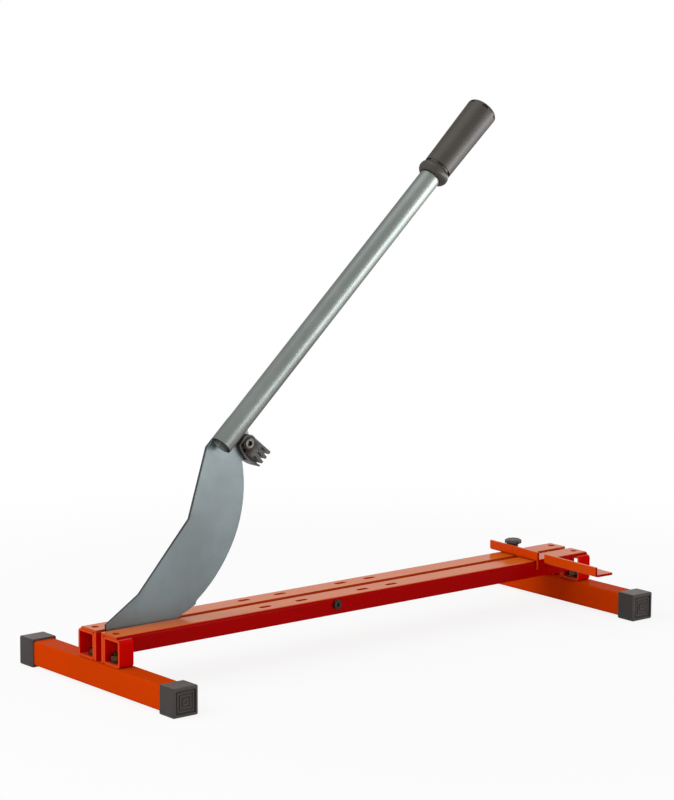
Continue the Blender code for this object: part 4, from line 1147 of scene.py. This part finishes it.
class Stage(Maker, bpy.types.Operator):
    """Sets up the pale floor, the soft lights, the white surround and the camera"""
    bl_idname = "cutter.stage"
    bl_label = "Floor, lights and camera"
    settings = "cutter_stage"

    def make(self, look):
        self.add_floor(look)
        key = self.add_light("key light", look.key, size=(3.3, 3.0), place=(-2.6, 0.6, 1.8),
                             aim=(0, 0, 0.15))
        key.visible_glossy = False
        self.add_light("strip light", look.rim, size=(0.3, 2.0), place=(1.3, -2.2, 0.9),
                       aim=(0.1, 0, 0.35))
        self.add_light("top light", look.top, size=(2.2, 2.2), place=(-0.3, 0.3, 3.0),
                       aim=(0, 0, 0))
        self.set_world(look)
        self.add_camera()
        bpy.context.scene.view_settings.view_transform = "Standard"

    def add_floor(self, look):
        solid = bmesh.new()
        bmesh.ops.create_grid(solid, x_segments=1, y_segments=1, size=look.floor_size / 2)
        floor = mesh_object("floor", solid)
        material = bpy.data.materials.new("pale floor")
        material.use_nodes = True
        material.node_tree.nodes.clear()
        tree = Tree(material.node_tree)
        matt = tree.add("ShaderNodeBsdfDiffuse", {"Color": colour(look.floor)})
        path, seen = rays(tree)
        where = tree.space()
        away = tree.add("ShaderNodeVectorMath", {0: where}, operation="LENGTH").outputs["Value"]
        fade = tree.span(away, 0.45, 1.15, look.floor_fade, 1.0)
        # A brighter stretch of floor, far off to one side, gives the tube its lit band
        place = tree.axes(where)
        sideways = tree.maths("SUBTRACT", place["X"], place["Y"])
        beyond = tree.maths("MULTIPLY_ADD", place["X"], -0.53,
                            tree.maths("MULTIPLY", place["Y"], -1.0))
        patch = tree.maths("MULTIPLY", tree.span(sideways, 0.5, 4.6),
                           tree.span(beyond, 2.0, 8.0, 1.0, 0.1))
        glow = tree.maths("MULTIPLY", patch, path["Is Glossy Ray"])
        strength = tree.maths("MULTIPLY_ADD", glow, look.floor_glow, 1.0)
        white = tree.add("ShaderNodeEmission", {"Color": (1, 1, 1, 1), "Strength": strength})
        mix = tree.add("ShaderNodeMixShader", {0: tree.maths("MULTIPLY", seen, fade),
                                               1: matt.outputs[0], 2: white.outputs[0]})
        tree.add("ShaderNodeOutputMaterial", {"Surface": mix.outputs[0]})
        floor.data.materials.append(material)

    def add_light(self, name, power, size, place, aim):
        light = bpy.data.lights.new(name, "AREA")
        light.shape = "RECTANGLE"
        light.size, light.size_y = size
        light.energy = power
        lamp = placed_object(name, light)
        turn = (Vector(aim) - Vector(place)).to_track_quat("-Z", "Y")
        lamp.matrix_world = at(*place) @ turn.to_matrix().to_4x4()
        return lamp

    def set_world(self, look):
        world = bpy.data.worlds.new("white surround")
        bpy.context.scene.world = world
        world.use_nodes = True
        world.node_tree.nodes.clear()
        tree = Tree(world.node_tree)
        strength = tree.maths("MULTIPLY_ADD", rays(tree)[1], 1.0 - look.world, look.world)
        light = tree.add("ShaderNodeBackground", {"Color": (1, 1, 1, 1), "Strength": strength})
        tree.add("ShaderNodeOutputWorld", {"Surface": light.outputs[0]})

    def add_camera(self):
        """Turned from looking straight down: the roll first, then the tilt, then the heading."""
        heading, tilt, roll = radians(50.56 - 90), radians(90 - 9.13), radians(0.37)
        focal_px, frame_height = 2741.66, 800
        turn = turned(tilt, "X") @ turned(roll, "Z")
        lens = bpy.data.cameras.new("camera")
        lens.sensor_fit = "AUTO"
        lens.sensor_width = 36
        lens.lens = focal_px * lens.sensor_width / frame_height
        lens.clip_end = 100
        camera = placed_object("camera", lens)
        place = at(-2.1390, -2.5735, 0.8431)
        camera.matrix_world = place @ turned(heading, "Z") @ turn
        bpy.context.scene.camera = camera


PIECES = (PaintedMetal, Blade, HandleTube, Grip, Buffer, FootCaps, FenceKnob, Fasteners, Stage)


class CutterPanel(bpy.types.Panel):
    """Lists the operators and the sizes and colours that they use"""
    bl_idname = "CUTTER_PT_pieces"
    bl_label = "Laminate cutter"
    bl_space_type = "VIEW_3D"
    bl_region_type = "UI"
    bl_category = "Cutter"

    def draw(self, context):
        for operator in PIECES:
            self.layout.operator(operator.bl_idname)
        for name, kind in LOOKS.items():
            box = self.layout.box()
            for field in kind.__annotations__:
                label = field.replace("_", " ").capitalize()
                box.prop(getattr(context.scene, name), field, text=label)


CLASSES = (*LOOKS.values(), *PIECES, CutterPanel)


def register():
    for kind in CLASSES:
        bpy.utils.register_class(kind)
    for name, kind in LOOKS.items():
        setattr(bpy.types.Scene, name, PointerProperty(type=kind))


def unregister():
    for name in LOOKS:
        delattr(bpy.types.Scene, name)
    for kind in reversed(CLASSES):
        bpy.utils.unregister_class(kind)


def main():
    register()
    for operator in PIECES:
        family, name = operator.bl_idname.split(".")
        getattr(getattr(bpy.ops, family), name)()


if __name__ == "__main__":
    main()
